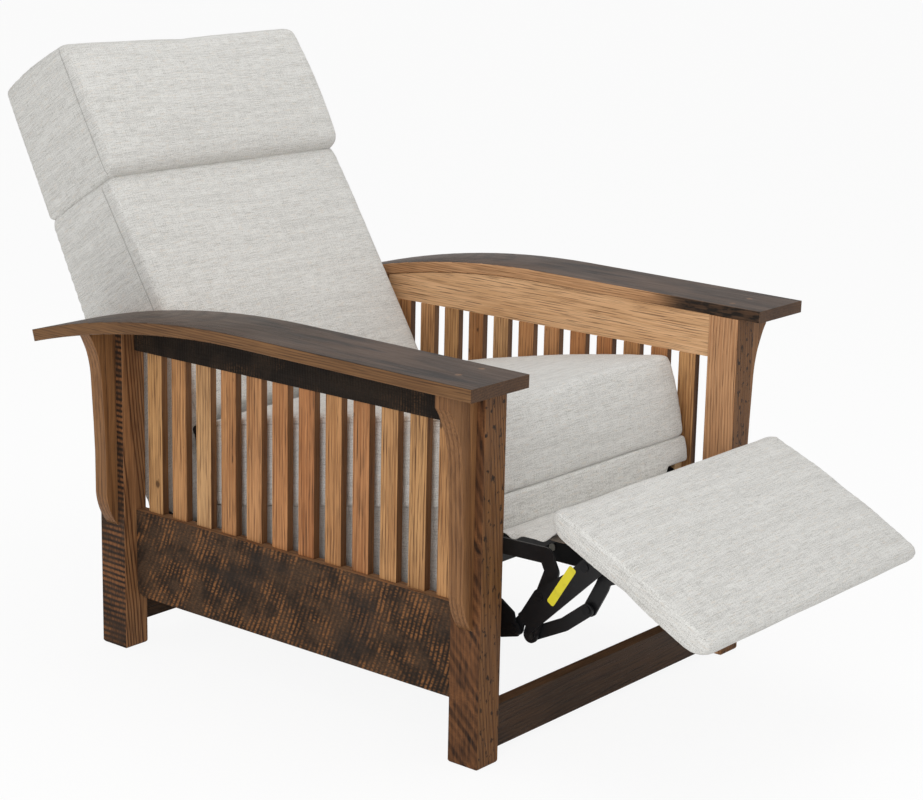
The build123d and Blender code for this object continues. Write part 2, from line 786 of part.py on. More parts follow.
parts["back_top_rail"] = back_rail(upright_top, upright_front)
parts["back_middle_rail"] = back_rail(crease_up + back_mid_rail_lift, upright_front)
parts["back_bottom_rail"] = back_rail(-upright_foot + back_rail_thick, upright_foot_front)
webs = []
for i in range(back_strap_count):
    middle = back_strap_first + (back_strap_last - back_strap_first) * i / (back_strap_count - 1)
    low, high = middle - strap_wide / 2, middle + strap_wide / 2
    webs.append(across(back_outline(((low, upright_front - strap_thick), (low, upright_front),
                                     (high, upright_front), (high, upright_front - strap_thick))),
                       upright_out))
parts["back_webbing"] = group(webs)

pocket_front = upright_front - pocket_front_gap
pocket_half = upright_out + pocket_gap
far_rear = rear_line(-back_bottom) + overrun
back_pocket = across(back_outline((
    (crease_up + overrun, pocket_front), (back_step_up, pocket_front),
    (-upright_step_up - pocket_front_gap, upright_step_front - pocket_front_gap),
    (-upright_foot - pocket_gap, upright_foot_front - pocket_front_gap),
    (-upright_foot - pocket_gap, far_rear), (crease_up + overrun, far_rear))), pocket_half)
pillow_pocket = across(back_outline((
    (crease_up - overrun, pocket_front), (upright_top + pocket_gap, pocket_front),
    (upright_top + pocket_gap, far_rear), (crease_up - overrun, far_rear))), pocket_half)

bolt_places = [back_at(*p) for p in bracket_bolts]


def bracket_outline(grow):
    shape = hull((back_pivot, bracket_boss_radius + grow), (bolt_places[0], bracket_pad_radius + grow),
                 (bolt_places[1], bracket_pad_radius + grow))
    return shape + hull((bolt_places[1], bracket_pad_radius + grow),
                        (bolt_places[2], bracket_pad_radius + grow),
                        (tail_pin, bracket_boss_radius + grow))


back_corners = [back_at(*p) for p in (
    (crease_up - soft_gap, rear_line(crease_up)), (-back_bottom, rear_line(-back_bottom)),
    (-back_bottom, back_skirt_rear), (-back_step_up, back_step_rear),
    (-back_tuck_up, back_tuck_rear), (back_lip_up, -back_lip_front),
    (crease_up - soft_gap, -back_front))]
back_bulges = (0, 0, 0, 0, -back_tuck_up / 2, -back_crown, 0)
pillow_corners = [back_at(*p) for p in (
    (crease_up, rear_line(crease_up)), (crease_up, -pillow_crease_front),
    (pillow_nose_up, -pillow_nose_front),
    (pillow_top - pillow_top_corner, -pillow_front), (pillow_top, -pillow_front + pillow_top_corner),
    (pillow_top, rear_line(pillow_top)))]
pillow_bulges = (0, pillow_round, pillow_crown, pillow_corner_bulge, pillow_top_crown, 0)

bracket_shape = bracket_outline(0)
bracket_shape -= disc(back_pivot, big_pin_radius + pivot_play)
bracket_shape -= disc(tail_pin, big_pin_radius)
for place in bolt_places:
    bracket_shape -= disc(place, bolt_radius)
bracket_out = upright_out + plate_thick
back_soft = cushion(back_corners, [-b for b in back_bulges], back_wide / 2, back_draw) - back_pocket
pillow = cushion(pillow_corners, pillow_bulges, back_wide / 2, pillow_draw) - pillow_pocket
brackets, tail_pins = [], []
relief = bracket_outline(bracket_relief)
pin_relief = big_head_radius + bracket_relief
for name, side in sides.items():
    upright = plate(upright_shape, upright_out - upright_thick, upright_out, side)
    for place in bolt_places:
        bolt = (rod(place, bolt_radius, upright_out - bolt_bite, bracket_out, side)
                + rod(place, bolt_head_radius, bracket_out, bracket_out + head_thick, side))
        tail_pins.append(bolt)
        upright -= bolt
        back_soft -= rod(place, bolt_head_radius + bracket_relief, upright_out,
                         bracket_out + head_thick + pocket_gap, side)
    parts["back_upright_" + name] = upright
    brackets.append(plate(bracket_shape, upright_out, bracket_out, side))
    tail_pins.append(rod(tail_pin, big_pin_radius, upright_out, base_plate_out + side_play, side)
                     + rod(tail_pin, big_head_radius, bracket_out, bracket_out + head_thick, side)
                     + rod(tail_pin, big_head_radius, base_plate_out + side_play,
                           base_plate_out + side_play + head_thick, side))
    back_soft -= plate(relief, upright_out - pocket_gap, bracket_out + pocket_gap, side)
    back_soft -= rod(back_pivot, pin_relief, upright_out - head_thick * 2, back_wide / 2 + overrun,
                     side)
    seat_pins.append(rod(back_pivot, big_pin_radius, upright_out - pin_end_play,
                         hinge_plate_out, side)
                     + rod(back_pivot, big_head_radius, upright_out - pin_end_play - head_thick,
                           upright_out - pin_end_play, side)
                     + rod(back_pivot, hinge_boss_radius, bracket_out + pin_end_play,
                           seat_rail_out, side)
                     + rod(back_pivot, big_head_radius, hinge_plate_out,
                           hinge_plate_out + head_thick, side))
parts["seat_pins"] = group(seat_pins)
parts["back_brackets"] = group(brackets)
parts["back_pins"] = group(tail_pins)
parts["back_cushion"] = back_soft
parts["headrest_pillow"] = pillow

# Footrest linkage
curved_path = (main_pivot, curved_link_elbow, curved_link_belly, curved_wide_pivot,
               curved_lower_pivot)
curved_shape = strap(curved_path, curved_link_half)
curved_shape -= disc(main_pivot, link_pin_radius + pivot_play)
curved_shape -= disc(curved_wide_pivot, link_pin_radius)
curved_shape -= disc(curved_lower_pivot, link_pin_radius)

wide_shape = outline(wide_link_corners)
wide_shape += hull((rear_wide_pivot, hub_radius), (wide_link_swell[1], hub_radius / 2))
wide_shape += hull((bracket_wide_pivot, hub_radius - side_play), (wide_link_stud, hub_radius))
wide_shape += hull((curved_wide_pivot, hub_radius), (wide_link_swell[0], hub_radius / 2),
                   (wide_link_swell[1], hub_radius / 2))
for place in (rear_wide_pivot, bracket_wide_pivot, wide_link_stud):
    wide_shape -= disc(place, link_pin_radius)
wide_shape -= disc(curved_wide_pivot, link_pin_radius + pivot_play)

rear_shape = outline(rear_link_corners)
rear_shape += disc(rear_pivot, hub_radius + side_play)
rear_shape += disc(rear_wide_pivot, hub_radius)
rear_shape -= disc(rear_pivot, link_pin_radius + pivot_play)
rear_shape -= disc(rear_wide_pivot, link_pin_radius + open_pivot_play)

lower_shape = strap((curved_lower_pivot, lower_link_middle, bracket_lower_pivot), hub_radius - side_play)
lower_shape -= disc(curved_lower_pivot, link_pin_radius + pivot_play)
lower_shape -= disc(bracket_lower_pivot, link_pin_radius + lower_open_play)

foot_start = pad_at(bracket_foot_start, -board_lift)
foot_end = pad_at(bracket_foot_end, -board_lift)
bracket_foot = outline((foot_start, foot_end, pad_at(bracket_foot_end, -board_lift - link_thick),
                        bracket_neck, bracket_wide_pivot,
                        pad_at(bracket_foot_start, -board_lift - link_thick)))
bracket_side = bracket_foot + hull((bracket_wide_pivot, hub_radius - side_play),
                                   (bracket_neck, hub_radius))
bracket_side += hull((bracket_neck, hub_radius), (bracket_lower_pivot, hub_radius))
above = outline([pad_at(-overrun, -board_lift), pad_at(pad_long, -board_lift),
                 pad_at(pad_long, overrun), pad_at(-overrun, overrun)])
bracket_side -= above
bracket_side -= disc(bracket_wide_pivot, link_pin_radius + pivot_play)
bracket_side -= disc(bracket_lower_pivot, link_pin_radius)
flange_shape = outline((foot_start, foot_end, pad_at(bracket_foot_end, -board_lift - link_thick),
                        pad_at(bracket_foot_start, -board_lift - link_thick)))

curved, curved_pins, wide, wide_pins = [], [], [], []
rear, lower, brackets, foot_pins, foot_screws = [], [], [], [], []
play = pin_end_play
for name, side in sides.items():
    curved.append(plate(curved_shape, curved_in, curved_out, side))
    wide.append(plate(wide_shape, wide_in, wide_out, side))
    rear.append(plate(rear_shape, rear_in, rear_out, side))
    lower.append(plate(lower_shape, lower_in, lower_out, side))
    brackets.append(plate(bracket_side, foot_in, foot_out, side)
                    + plate(flange_shape, foot_in - bracket_flange_wide, foot_out, side))
    curved_pins.append(rod(curved_wide_pivot, link_pin_radius, curved_in, wide_out + play, side)
                       + rod(curved_wide_pivot, link_head_radius, curved_in - link_head_thick,
                             curved_in, side)
                       + rod(curved_wide_pivot, link_head_radius, curved_out, wide_in - play, side)
                       + rod(curved_wide_pivot, link_head_radius, wide_out + play,
                             wide_out + play + link_head_thick, side))
    curved_pins.append(rod(curved_lower_pivot, link_pin_radius, lower_in - play, curved_out, side)
                       + rod(curved_lower_pivot, link_head_radius, curved_out,
                             curved_out + link_head_thick, side)
                       + rod(curved_lower_pivot, link_head_radius, lower_out + play, curved_in, side)
                       + rod(curved_lower_pivot, link_head_radius, lower_in - play - link_head_thick,
                             lower_in - play, side))
    wide_pins.append(rod(rear_wide_pivot, link_pin_radius, wide_in, rear_out + play, side)
                     + rod(rear_wide_pivot, link_head_radius, wide_in - link_head_thick, wide_in, side)
                     + rod(rear_wide_pivot, link_head_radius, wide_out, rear_in - play, side)
                     + rod(rear_wide_pivot, link_head_radius, rear_out + play,
                           rear_out + play + link_head_thick, side))
    wide_pins.append(rod(bracket_wide_pivot, link_pin_radius, foot_in - play, wide_out, side)
                     + rod(bracket_wide_pivot, link_head_radius, wide_out,
                           wide_out + link_head_thick, side)
                     + rod(bracket_wide_pivot, link_head_radius, foot_out + play, wide_in, side)
                     + rod(bracket_wide_pivot, link_head_radius, foot_in - play - link_head_thick,
                           foot_in - play, side))
    wide_pins.append(rod(wide_link_stud, link_pin_radius, wide_in, wide_out, side)
                     + rod(wide_link_stud, link_head_radius, wide_out, wide_out + link_head_thick,
                           side))
    foot_pins.append(rod(bracket_lower_pivot, link_pin_radius, foot_in, lower_out + play, side)
                     + rod(bracket_lower_pivot, link_head_radius, foot_in - link_head_thick,
                           foot_in, side)
                     + rod(bracket_lower_pivot, link_head_radius, foot_out, lower_in - play, side)
                     + rod(bracket_lower_pivot, link_head_radius, lower_out + play,
                           lower_out + play + link_head_thick, side))
parts["curved_links"] = group(curved)
parts["curved_link_pins"] = group(curved_pins)
parts["wide_links"] = group(wide)
parts["wide_link_pins"] = group(wide_pins)
parts["rear_links"] = group(rear)
parts["lower_links"] = group(lower)

# Footrest board and pad
board_front = pad_long - board_inset
board_half = pad_wide / 2 - board_inset
board = across(outline([pad_at(board_inset, -board_lift), pad_at(board_front, -board_lift),
                        pad_at(board_front, -board_lift + board_thick),
                        pad_at(board_inset, -board_lift + board_thick)]), board_half)
pad_plane = Plane(origin=(0, *at(pad_at(0, -board_lift))), x_dir=(1, 0, 0),
                  z_dir=(0, sin(radians(pad_slope_angle)), -cos(radians(pad_slope_angle))))
flange_middle = foot_in - bracket_flange_wide / 2
flanges = group(brackets)
for side in sides.values():
    for share in flange_screw_shares:
        forward = bracket_foot_start + (bracket_foot_end - bracket_foot_start) * share
        place = pad_at(forward, -board_lift)
        spot = Plane(origin=(side * flange_middle, *at(place)), z_dir=pad_plane.z_dir)
        shank = extrude(spot.offset(-screw_bite + board_margin) * Circle(screw_radius),
                        screw_bite - board_margin + link_thick)
        head = extrude(spot.offset(link_thick) * Circle(screw_head_radius), screw_head_thick)
        screw = shank + head
        foot_screws.append(screw)
        board -= screw
flange_solids = []
for bracket in flanges.solids():
    for screw in foot_screws:
        bracket = bracket - screw
    flange_solids.append(bracket)
parts["footrest_brackets"] = group(flange_solids)
parts["footrest_pins"] = group(foot_pins)
parts["footrest_screws"] = group(foot_screws)
parts["footrest_board"] = board

pad_corners = [pad_at(*p) for p in (
    (0, -pad_thick), (0, -pad_edge_drop), (pad_long, -pad_edge_drop), (pad_long, -pad_thick))]
pad_bulges = (pad_end_crown, pad_crown, pad_end_crown, 0)
pad = cushion(pad_corners, [-b for b in pad_bulges], pad_wide / 2, pad_draw)
pad_pocket = across(outline([
    pad_at(board_inset - soft_gap, -pad_thick - overrun),
    pad_at(board_front + soft_gap, -pad_thick - overrun),
    pad_at(board_front + soft_gap, -board_lift + board_thick + soft_gap),
    pad_at(board_inset - soft_gap, -board_lift + board_thick + soft_gap)]), board_half + soft_gap)
parts["footrest_pad"] = pad - pad_pocket

flap_seat_end = seat_at(seat_rail_front / 2, -band_middle_deep - soft_gap)
flap_pad_end = pad_at(flap_tuck, -pad_thick - soft_gap)
flap_middle = ((flap_seat_end[0] + flap_pad_end[0]) / 2,
               (flap_seat_end[1] + flap_pad_end[1]) / 2 - flap_droop)
flap_top = [at(p) for p in (flap_seat_end, flap_middle, flap_pad_end)]
flap_low = [at((p[0], p[1] - flap_thick)) for p in (flap_seat_end, flap_middle, flap_pad_end)]
flap_shape = make_face([ThreePointArc(*flap_low), Line(flap_low[2], flap_top[2]),
                        ThreePointArc(*reversed(flap_top)), Line(flap_top[0], flap_low[0])])
parts["footrest_flap"] = across(flap_shape, curved_in - flap_clearance)

os.makedirs("parts", exist_ok=True)
for label, shape in parts.items():
    export_step(shape, "parts/" + label + ".step")
print(len(parts), "nodes")
box = group(list(parts.values())).bounding_box()
print("X", round(box.min.X, 2), round(box.max.X, 2), "Y", round(box.min.Y, 2), round(box.max.Y, 2),
      "Z", round(box.min.Z, 2), round(box.max.Z, 2))
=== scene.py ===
from math import cos, pi, radians, sin

import bpy
import numpy as np
from mathutils import Matrix, Vector


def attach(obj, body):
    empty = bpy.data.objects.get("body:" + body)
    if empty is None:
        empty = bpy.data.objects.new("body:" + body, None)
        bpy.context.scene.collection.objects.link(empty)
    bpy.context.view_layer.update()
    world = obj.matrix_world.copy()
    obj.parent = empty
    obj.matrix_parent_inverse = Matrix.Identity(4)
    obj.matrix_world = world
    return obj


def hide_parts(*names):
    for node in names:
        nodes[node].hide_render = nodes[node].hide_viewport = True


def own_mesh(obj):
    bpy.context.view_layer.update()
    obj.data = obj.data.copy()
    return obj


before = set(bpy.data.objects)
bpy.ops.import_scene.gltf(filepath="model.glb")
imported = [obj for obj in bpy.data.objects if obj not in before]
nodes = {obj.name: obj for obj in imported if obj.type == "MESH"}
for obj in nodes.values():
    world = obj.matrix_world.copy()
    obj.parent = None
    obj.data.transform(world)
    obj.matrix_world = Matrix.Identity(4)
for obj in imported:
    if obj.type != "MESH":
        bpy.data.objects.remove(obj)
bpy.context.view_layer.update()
scene = bpy.context.scene
sides = {"right": -1, "left": 1}

# Places are given as on the drawing: depth rearward from the front posts' faces and height,
# both in metres, and the chair's middle lies setback behind those faces.
setback = 0.3712


def slopeAxes(depth, height, degrees):
    # a corner with two directions: forth falls rearward by the angle, lift stands square to it
    turn = radians(degrees)
    return {"corner": np.array((depth - setback, height)),
            "forth": np.array((cos(turn), -sin(turn))), "lift": np.array((sin(turn), cos(turn)))}


seatAxes = slopeAxes(0.081, 0.360, 11.3)
backAxes = slopeAxes(0.632, 0.372, 33.0)
padAxes = slopeAxes(-0.077, 0.391, -26.5)


def onAxes(axes, forth, lift):
    # rearward and upward place of points given along the two directions
    forth, lift = np.asarray(forth, float), np.asarray(lift, float)
    return axes["corner"] + forth[..., None] * axes["forth"] + lift[..., None] * axes["lift"]


def seatAt(run, rise):
    return onAxes(seatAxes, run, rise)


def backAt(up, rear):
    return onAxes(backAxes, rear, up)


def padAt(forward, lift):
    return onAxes(padAxes, -np.asarray(forward, float), lift)


# Camera

view = {"azimuth": -50.824, "elevation": 14.039, "roll": 1.239, "distance": 3.48464,
        "target": (-0.02357, -0.0712, 0.43463), "focalPixels": 2234.2, "imageWidth": 923}


def makeCamera():
    a, e, r = (radians(view[k]) for k in ("azimuth", "elevation", "roll"))
    back = Vector((sin(a) * cos(e), -cos(a) * cos(e), sin(e)))
    right = Vector((cos(a), sin(a), 0))
    up = back.cross(right)
    data = bpy.data.cameras.new("camera")
    data.sensor_width = 36
    data.lens = data.sensor_width * view["focalPixels"] / view["imageWidth"]
    camera = bpy.data.objects.new("camera", data)
    scene.collection.objects.link(camera)
    columns = (right * cos(r) + up * sin(r), up * cos(r) - right * sin(r), back)
    turn = Matrix([[c[i] for c in columns] for i in range(3)])
    place = Vector(view["target"]) + back * view["distance"]
    camera.matrix_world = Matrix.Translation(place) @ turn.to_4x4()
    scene.camera = camera


makeCamera()


# Shader maths

def paint(red, green, blue):
    # a colour as it is picked on a screen, 0 to 255, made linear
    share = np.array((red, green, blue)) / 255
    low, high = share / 12.92, ((share + 0.055) / 1.055) ** 2.4
    return (*np.where(share <= 0.04045, low, high).tolist(), 1.0)


class Wire:
    # an output socket that takes part in sums; each operator adds its Math node
    def __init__(self, bench, socket):
        self.bench = bench
        self.socket = socket

    def maths(self, operation, *values):
        return self.bench.node("ShaderNodeMath", {"operation": operation}, dict(enumerate(values)))

    def __add__(self, other):
        return self.maths("ADD", self, other)

    def __sub__(self, other):
        return self.maths("SUBTRACT", self, other)

    def __rsub__(self, other):
        return self.maths("SUBTRACT", other, self)

    def __mul__(self, other):
        return self.maths("MULTIPLY", self, other)

    def __truediv__(self, other):
        return self.maths("DIVIDE", self, other)

    def __pow__(self, other):
        return self.maths("POWER", self, other)

    def __abs__(self):
        return self.maths("ABSOLUTE", self)

    __radd__ = __add__
    __rmul__ = __mul__

    def sine(self):
        return self.maths("SINE", self)

    def fraction(self):
        return self.maths("FRACT", self)

    def floor(self):
        return self.maths("FLOOR", self)

    def most(self, other):
        return self.maths("MAXIMUM", self, other)

    def rise(self, low, high):
        # 0 below low and 1 above high, smooth between; high below low turns it round
        return self.bench.node("ShaderNodeMapRange", {"interpolation_type": "SMOOTHSTEP"},
                               {"Value": self, "From Min": low, "From Max": high})


class Bench:
    # the node tree of one material, or of the world; a material's surface is a Principled shader
    def __init__(self, name, world=False, **constants):
        self.owner = (bpy.data.worlds if world else bpy.data.materials).new(name)
        self.owner.use_nodes = True
        self.tree = self.owner.node_tree
        self.tree.nodes.clear()
        self.end = self.tree.nodes.new("ShaderNodeOutput" + ("World" if world else "Material"))
        if not world:
            self.surface = self.node("ShaderNodeBsdfPrincipled", {}, constants)
            self.show(self.surface)
            self.place = self.node("ShaderNodeTexCoord", {}, {}, "Object")
            self.x, self.y, self.z = self.parts(self.place)

    def show(self, shader):
        self.tree.links.new(shader.socket, self.end.inputs[0])

    def node(self, kind, settings, sockets, out=0):
        made = self.tree.nodes.new(kind)
        for name, value in settings.items():
            if name == "stops":
                ramp = made.color_ramp.elements
                while len(ramp) < len(value):
                    ramp.new(1.0)
                for stop, (position, colour) in zip(ramp, value):
                    stop.position = position
                    stop.color = colour
            else:
                setattr(made, name, value)
        byName = {}
        for socket in made.inputs:
            if socket.enabled:
                byName.setdefault(socket.name, socket)
        for name, value in sockets.items():
            socket = made.inputs[name] if isinstance(name, int) else byName[name]
            if isinstance(value, Wire):
                self.tree.links.new(value.socket, socket)
            else:
                socket.default_value = value
        outputs = [s for s in made.outputs if s.enabled]
        found = outputs[out] if isinstance(out, int) else next(s for s in outputs if s.name == out)
        return Wire(self, found)

    def parts(self, vector):
        return [self.node("ShaderNodeSeparateXYZ", {}, {0: vector}, i) for i in range(3)]

    def joined(self, x, y, z):
        return self.node("ShaderNodeCombineXYZ", {}, {0: x, 1: y, 2: z})

    def noise(self, vector, scale, detail=2.0, roughness=0.5):
        return self.node("ShaderNodeTexNoise", {}, {"Vector": vector, "Scale": scale,
                                                    "Detail": detail, "Roughness": roughness})

    def speckle(self, x, y, z, detail=2.0):
        # noise of scale 1 on three measures that are stretched beforehand
        return self.noise(self.joined(x, y, z), 1.0, detail)

    def ownValue(self, number):
        # a value between 0 and 1 for each whole number
        return self.node("ShaderNodeTexWhiteNoise", {"noise_dimensions": "1D"}, {"W": number},
                         "Value")

    def mixed(self, share, first, second, blend="MIX"):
        return self.node("ShaderNodeMix", {"data_type": "RGBA", "blend_type": blend},
                         {"Factor": share, "A": first, "B": second})

    def faces(self):
        return self.parts(self.node("ShaderNodeTexCoord", {}, {}, "Normal"))

    def finish(self, colour, roughness, relief=None, depth=0.001):
        # links what varies over the surface, with the relief as a bump in metres
        varying = {"Base Color": colour, "Roughness": roughness}
        if relief is not None:
            varying["Normal"] = self.node("ShaderNodeBump", {},
                                          {"Height": relief, "Distance": depth})
        for name, value in varying.items():
            socket = self.surface.socket.node.inputs[name]
            if isinstance(value, Wire):
                self.tree.links.new(value.socket, socket)
            else:
                socket.default_value = value
        return self.owner


# Wood

def grainOf(bench, look, axes, shift=0.0):
    # Rings round a heart line that leans from the board, so that they run straight on one face and
    # arch on the next; pores are dashes along the grain. Gives the tone, the pores and streaks.
    across, other, along = axes
    wander = bench.speckle(across * 7, other * 7, along * 2.2)
    a = (across - look["heart"][0] + (along - look["heart"][2]) * look["lean"] + shift * 0.05
         + (wander - 0.5) * look["wander"])
    b = other - look["heart"][1] + shift * 0.03
    ring = ((a * a + b * b) ** 0.5 * look["ringsPerMetre"]).fraction()
    late = ring.rise(0.45, 0.92) * (1 - ring.rise(0.94, 1.0))
    streaks = bench.speckle(across * 420 + shift * 31, other * 420, along * 9, 3.0)
    patches = bench.speckle(across * 16 + shift * 7, other * 16, along * 5, 3.0)
    tone = late * look["ringShare"] + (streaks - 0.5) * 1.5 + (patches - 0.5) * 1.3 + 0.36
    dashes = bench.speckle(across * 720 + shift * 13, other * 720, along * 17)
    pores = dashes.rise(0.53, 0.62) * (0.5 + late * 0.5)
    return tone.rise(0.0, 1.0), pores, streaks


def axesOf(bench, grain):
    x, y, z = bench.x, bench.y, bench.z
    return {"X": (y, z, x), "Y": (x, z, y), "Z": (x, y, z)}[grain]


def sawMarks(bench, look, along, across):
    # Kerfs of a round saw: bands of uneven pitch on arcs about a far centre, each with a strength
    # of its own, broken into beads and worn away in patches. along runs down the board.
    reach = ((along - look["centre"][0]) ** 2 + (across - look["centre"][1]) ** 2) ** 0.5
    waver = bench.speckle(along * 9, across * 9, 0.0, 3.0)
    place = reach / look["pitch"] + waver * look["waver"]
    own = bench.ownValue(place.floor())
    band = place.fraction()
    ridge = band.rise(0.02, 0.4) * (1 - band.rise(0.55, 0.98))
    beads = bench.speckle(along * look["bead"][0], across * look["bead"][1], 3.7, 3.0)
    patches = bench.speckle(along * look["patch"], across * look["patch"] * 1.5, 9.1, 4.0)
    worn = patches.rise(*look["patchRange"])
    beaded = 1 - look["beadShare"] + beads.rise(0.38, 0.62) * look["beadShare"]
    bright = ridge * (0.45 + own * 0.65) * beaded * (look["least"] + worn * (1 - look["least"]))
    return bright.rise(0.0, 0.85), ridge


def facing(normal, face, low, high):
    # 1 on the side of a board that looks along the face's axis, with a soft edge
    return (normal["XYZ".index(face["axis"])] * face["sign"]).rise(low, high)


def finishAndShadeFace(bench, face, places, normal, tone):
    # the mask and the colour of a face with a colour of its own: mostly a finish, on the slats'
    # front sides painted shade
    mask = facing(normal, face, 0.45, 0.75)
    if "beyond" in face:
        axis, sign, low, high = face["beyond"]
        mask = mask * (places[axis] * sign).rise(low, high)
    colour = bench.mixed(tone, paint(*face["light"]), paint(*face["dark"]))
    if "blot" in face:
        scaled = [p * s for p, s in zip(places.values(), face["blotScale"])]
        blots = bench.speckle(*scaled, 4.0)
        colour = bench.mixed(blots.rise(*face["blotRange"]), colour, paint(*face["blot"]))
    return mask, colour


def roughFace(bench, face, places, normal):
    # the mask, colour and relief of a face left as it came from the saw
    mask = facing(normal, face, 0.5, 0.8)
    first, second = places[face["along"]], places[face["across"]]
    bright, ridges = sawMarks(bench, face, first, second)
    dirt = bench.speckle(first * 26, second * 26, 1.3, 5.0).rise(0.38, 0.62)
    hatch = bench.speckle(first * 200, second * 480, 6.0, 3.0).rise(0.38, 0.62)
    deep = paint(*face["ground"][1])
    ground = bench.mixed(dirt, paint(*face["ground"][0]), deep)
    ground = bench.mixed(hatch * 0.55, ground, deep)
    colour = bench.mixed(bright, ground, paint(*face["ridge"]))
    cold = bench.speckle(first * 6, second * 9, 4.0, 3.0).rise(0.54, 0.66)
    colour = bench.mixed(cold * face["coldShare"], colour, paint(*face["cold"]))
    return mask, colour, (ridges * 0.8 + dirt * 0.3 + hatch * 0.2) * face["rough"]


def makeOak(name, look, boards=None):
    # grain over the whole piece, then per-face finishes and painted shade, its pores and its sawn
    # faces
    bench = Bench(name, **{"Specular IOR Level": 0.2})
    places = {"X": bench.x, "Y": bench.y, "Z": bench.z}
    shift = 0.0
    if boards:
        board = ((bench.y - boards["first"]) / boards["pitch"]).floor()
        shift = bench.ownValue(board + boards["seed"])
    tone, pores, streaks = grainOf(bench, look, axesOf(bench, look["grain"]), shift)
    colour = bench.mixed(tone, paint(*look["light"]), paint(*look["dark"]))
    if boards:
        tint = bench.node("ShaderNodeValToRGB", {"stops": boards["tints"]}, {"Fac": shift}, "Color")
        colour = bench.mixed(0.9, colour, bench.mixed(1.0, colour, tint, "MULTIPLY"))
        knots = bench.speckle(bench.x * 20, bench.y * 55, bench.z * 24).rise(0.70, 0.76)
        colour = bench.mixed(knots * 0.8, colour, paint(*boards["knot"]))
    relief = 0.5 - pores * 0.45 + (streaks - 0.5) * 0.3
    roughness = look["roughness"] + (streaks - 0.5) * 0.25
    normal = bench.faces()
    for face in look.get("finishAndShade", ()):
        mask, faceColour = finishAndShadeFace(bench, face, places, normal, tone)
        colour = bench.mixed(mask, colour, faceColour)
    colour = bench.mixed(pores * look["poreShare"], colour, paint(*look["pore"]))
    for face in look.get("sawn", ()):
        mask, rough, marks = roughFace(bench, face, places, normal)
        colour = bench.mixed(mask * face["cover"], colour, rough)
        relief = relief + mask * marks
        roughness = roughness + mask * 0.2
    return bench.finish(colour, roughness, relief, look["relief"])


oakBase = {"grain": "Z", "light": (188, 146, 106), "dark": (148, 104, 70), "pore": (74, 48, 32),
           "poreShare": 0.7, "ringsPerMetre": 260, "ringShare": 0.25, "heart": (0.0, 0.0, 0.3),
           "lean": 0.05, "wander": 0.02, "roughness": 0.5, "relief": 0.0006}
sawnBase = {"pitch": 0.0080, "waver": 1.5, "centre": (1.5, 0.7), "bead": (120, 430),
            "beadShare": 0.75, "least": 0.36, "patch": 15, "patchRange": (0.42, 0.60),
            "ground": ((82, 62, 46), (42, 34, 28)), "ridge": (142, 95, 57), "cold": (40, 38, 37),
            "coldShare": 0.45, "cover": 0.97, "rough": 1.2}


def sawnFace(axis, sign, along, across, **changes):
    return {**sawnBase, "axis": axis, "sign": sign, "along": along, "across": across, **changes}


def postLook(side, depth, outer, front, inner, heartAhead):
    # outer, front and inner faces of a post have their own finish; the heart stands before the
    # front face, so that the rings arch there
    return {**oakBase, "light": (130, 90, 56), "dark": (94, 62, 38), "pore": (38, 25, 16),
            "roughness": 0.45, "ringsPerMetre": 190, "ringShare": 0.8, "lean": 0.10, "wander": 0.03,
            "heart": (side * 0.316, depth - setback - heartAhead, 0.25),
            "finishAndShade": [{"axis": "Y", "sign": -1, **front}, {"axis": "X", "sign": -side, **inner},
                        *outer.get("finishAndShade", ())], "sawn": outer.get("sawn", ())}


def frontPost(side):
    # dark diagonal saw arcs low on the outer face, dark streaks above them
    streaked = {"axis": "X", "sign": side, "light": (128, 84, 50), "dark": (88, 56, 34),
                "blot": (44, 29, 20), "blotScale": (60, 120, 14), "blotRange": (0.52, 0.58)}
    sawn = sawnFace("X", side, "Y", "Z", pitch=0.0135, centre=(-0.91, 0.67), bead=(40, 60),
                    beadShare=0.3, least=0.0, waver=1.6, ground=((130, 86, 52), (92, 60, 37)),
                    ridge=(34, 22, 15), patch=7, patchRange=(0.40, 0.52), cold=(104, 68, 42),
                    cover=0.62, rough=-0.7)
    front = {"light": (126, 86, 50), "dark": (96, 63, 36), "blot": (44, 30, 19),
             "blotScale": (150, 60, 85), "blotRange": (0.60, 0.66)}
    inner = {"light": (206, 158, 116), "dark": (176, 128, 90)}
    return postLook(side, 0.0, {"finishAndShade": [streaked], "sawn": [sawn]}, front, inner, 0.012)


def rearPost(side):
    # level saw bands on the outer face, arched grain in front
    sawn = sawnFace("X", side, "Z", "Y", pitch=0.0092, centre=(-6.0, 0.4), bead=(90, 330),
                    waver=1.0, beadShare=0.5, patch=11, patchRange=(0.34, 0.54),
                    ridge=(132, 86, 52), ground=((66, 49, 37), (38, 29, 23)), cold=(50, 40, 33))
    front = {"light": (168, 122, 82), "dark": (96, 63, 40)}
    inner = {"light": (178, 134, 96), "dark": (140, 100, 68)}
    return postLook(side, 0.731, {"sawn": [sawn]}, front, inner, 0.016)


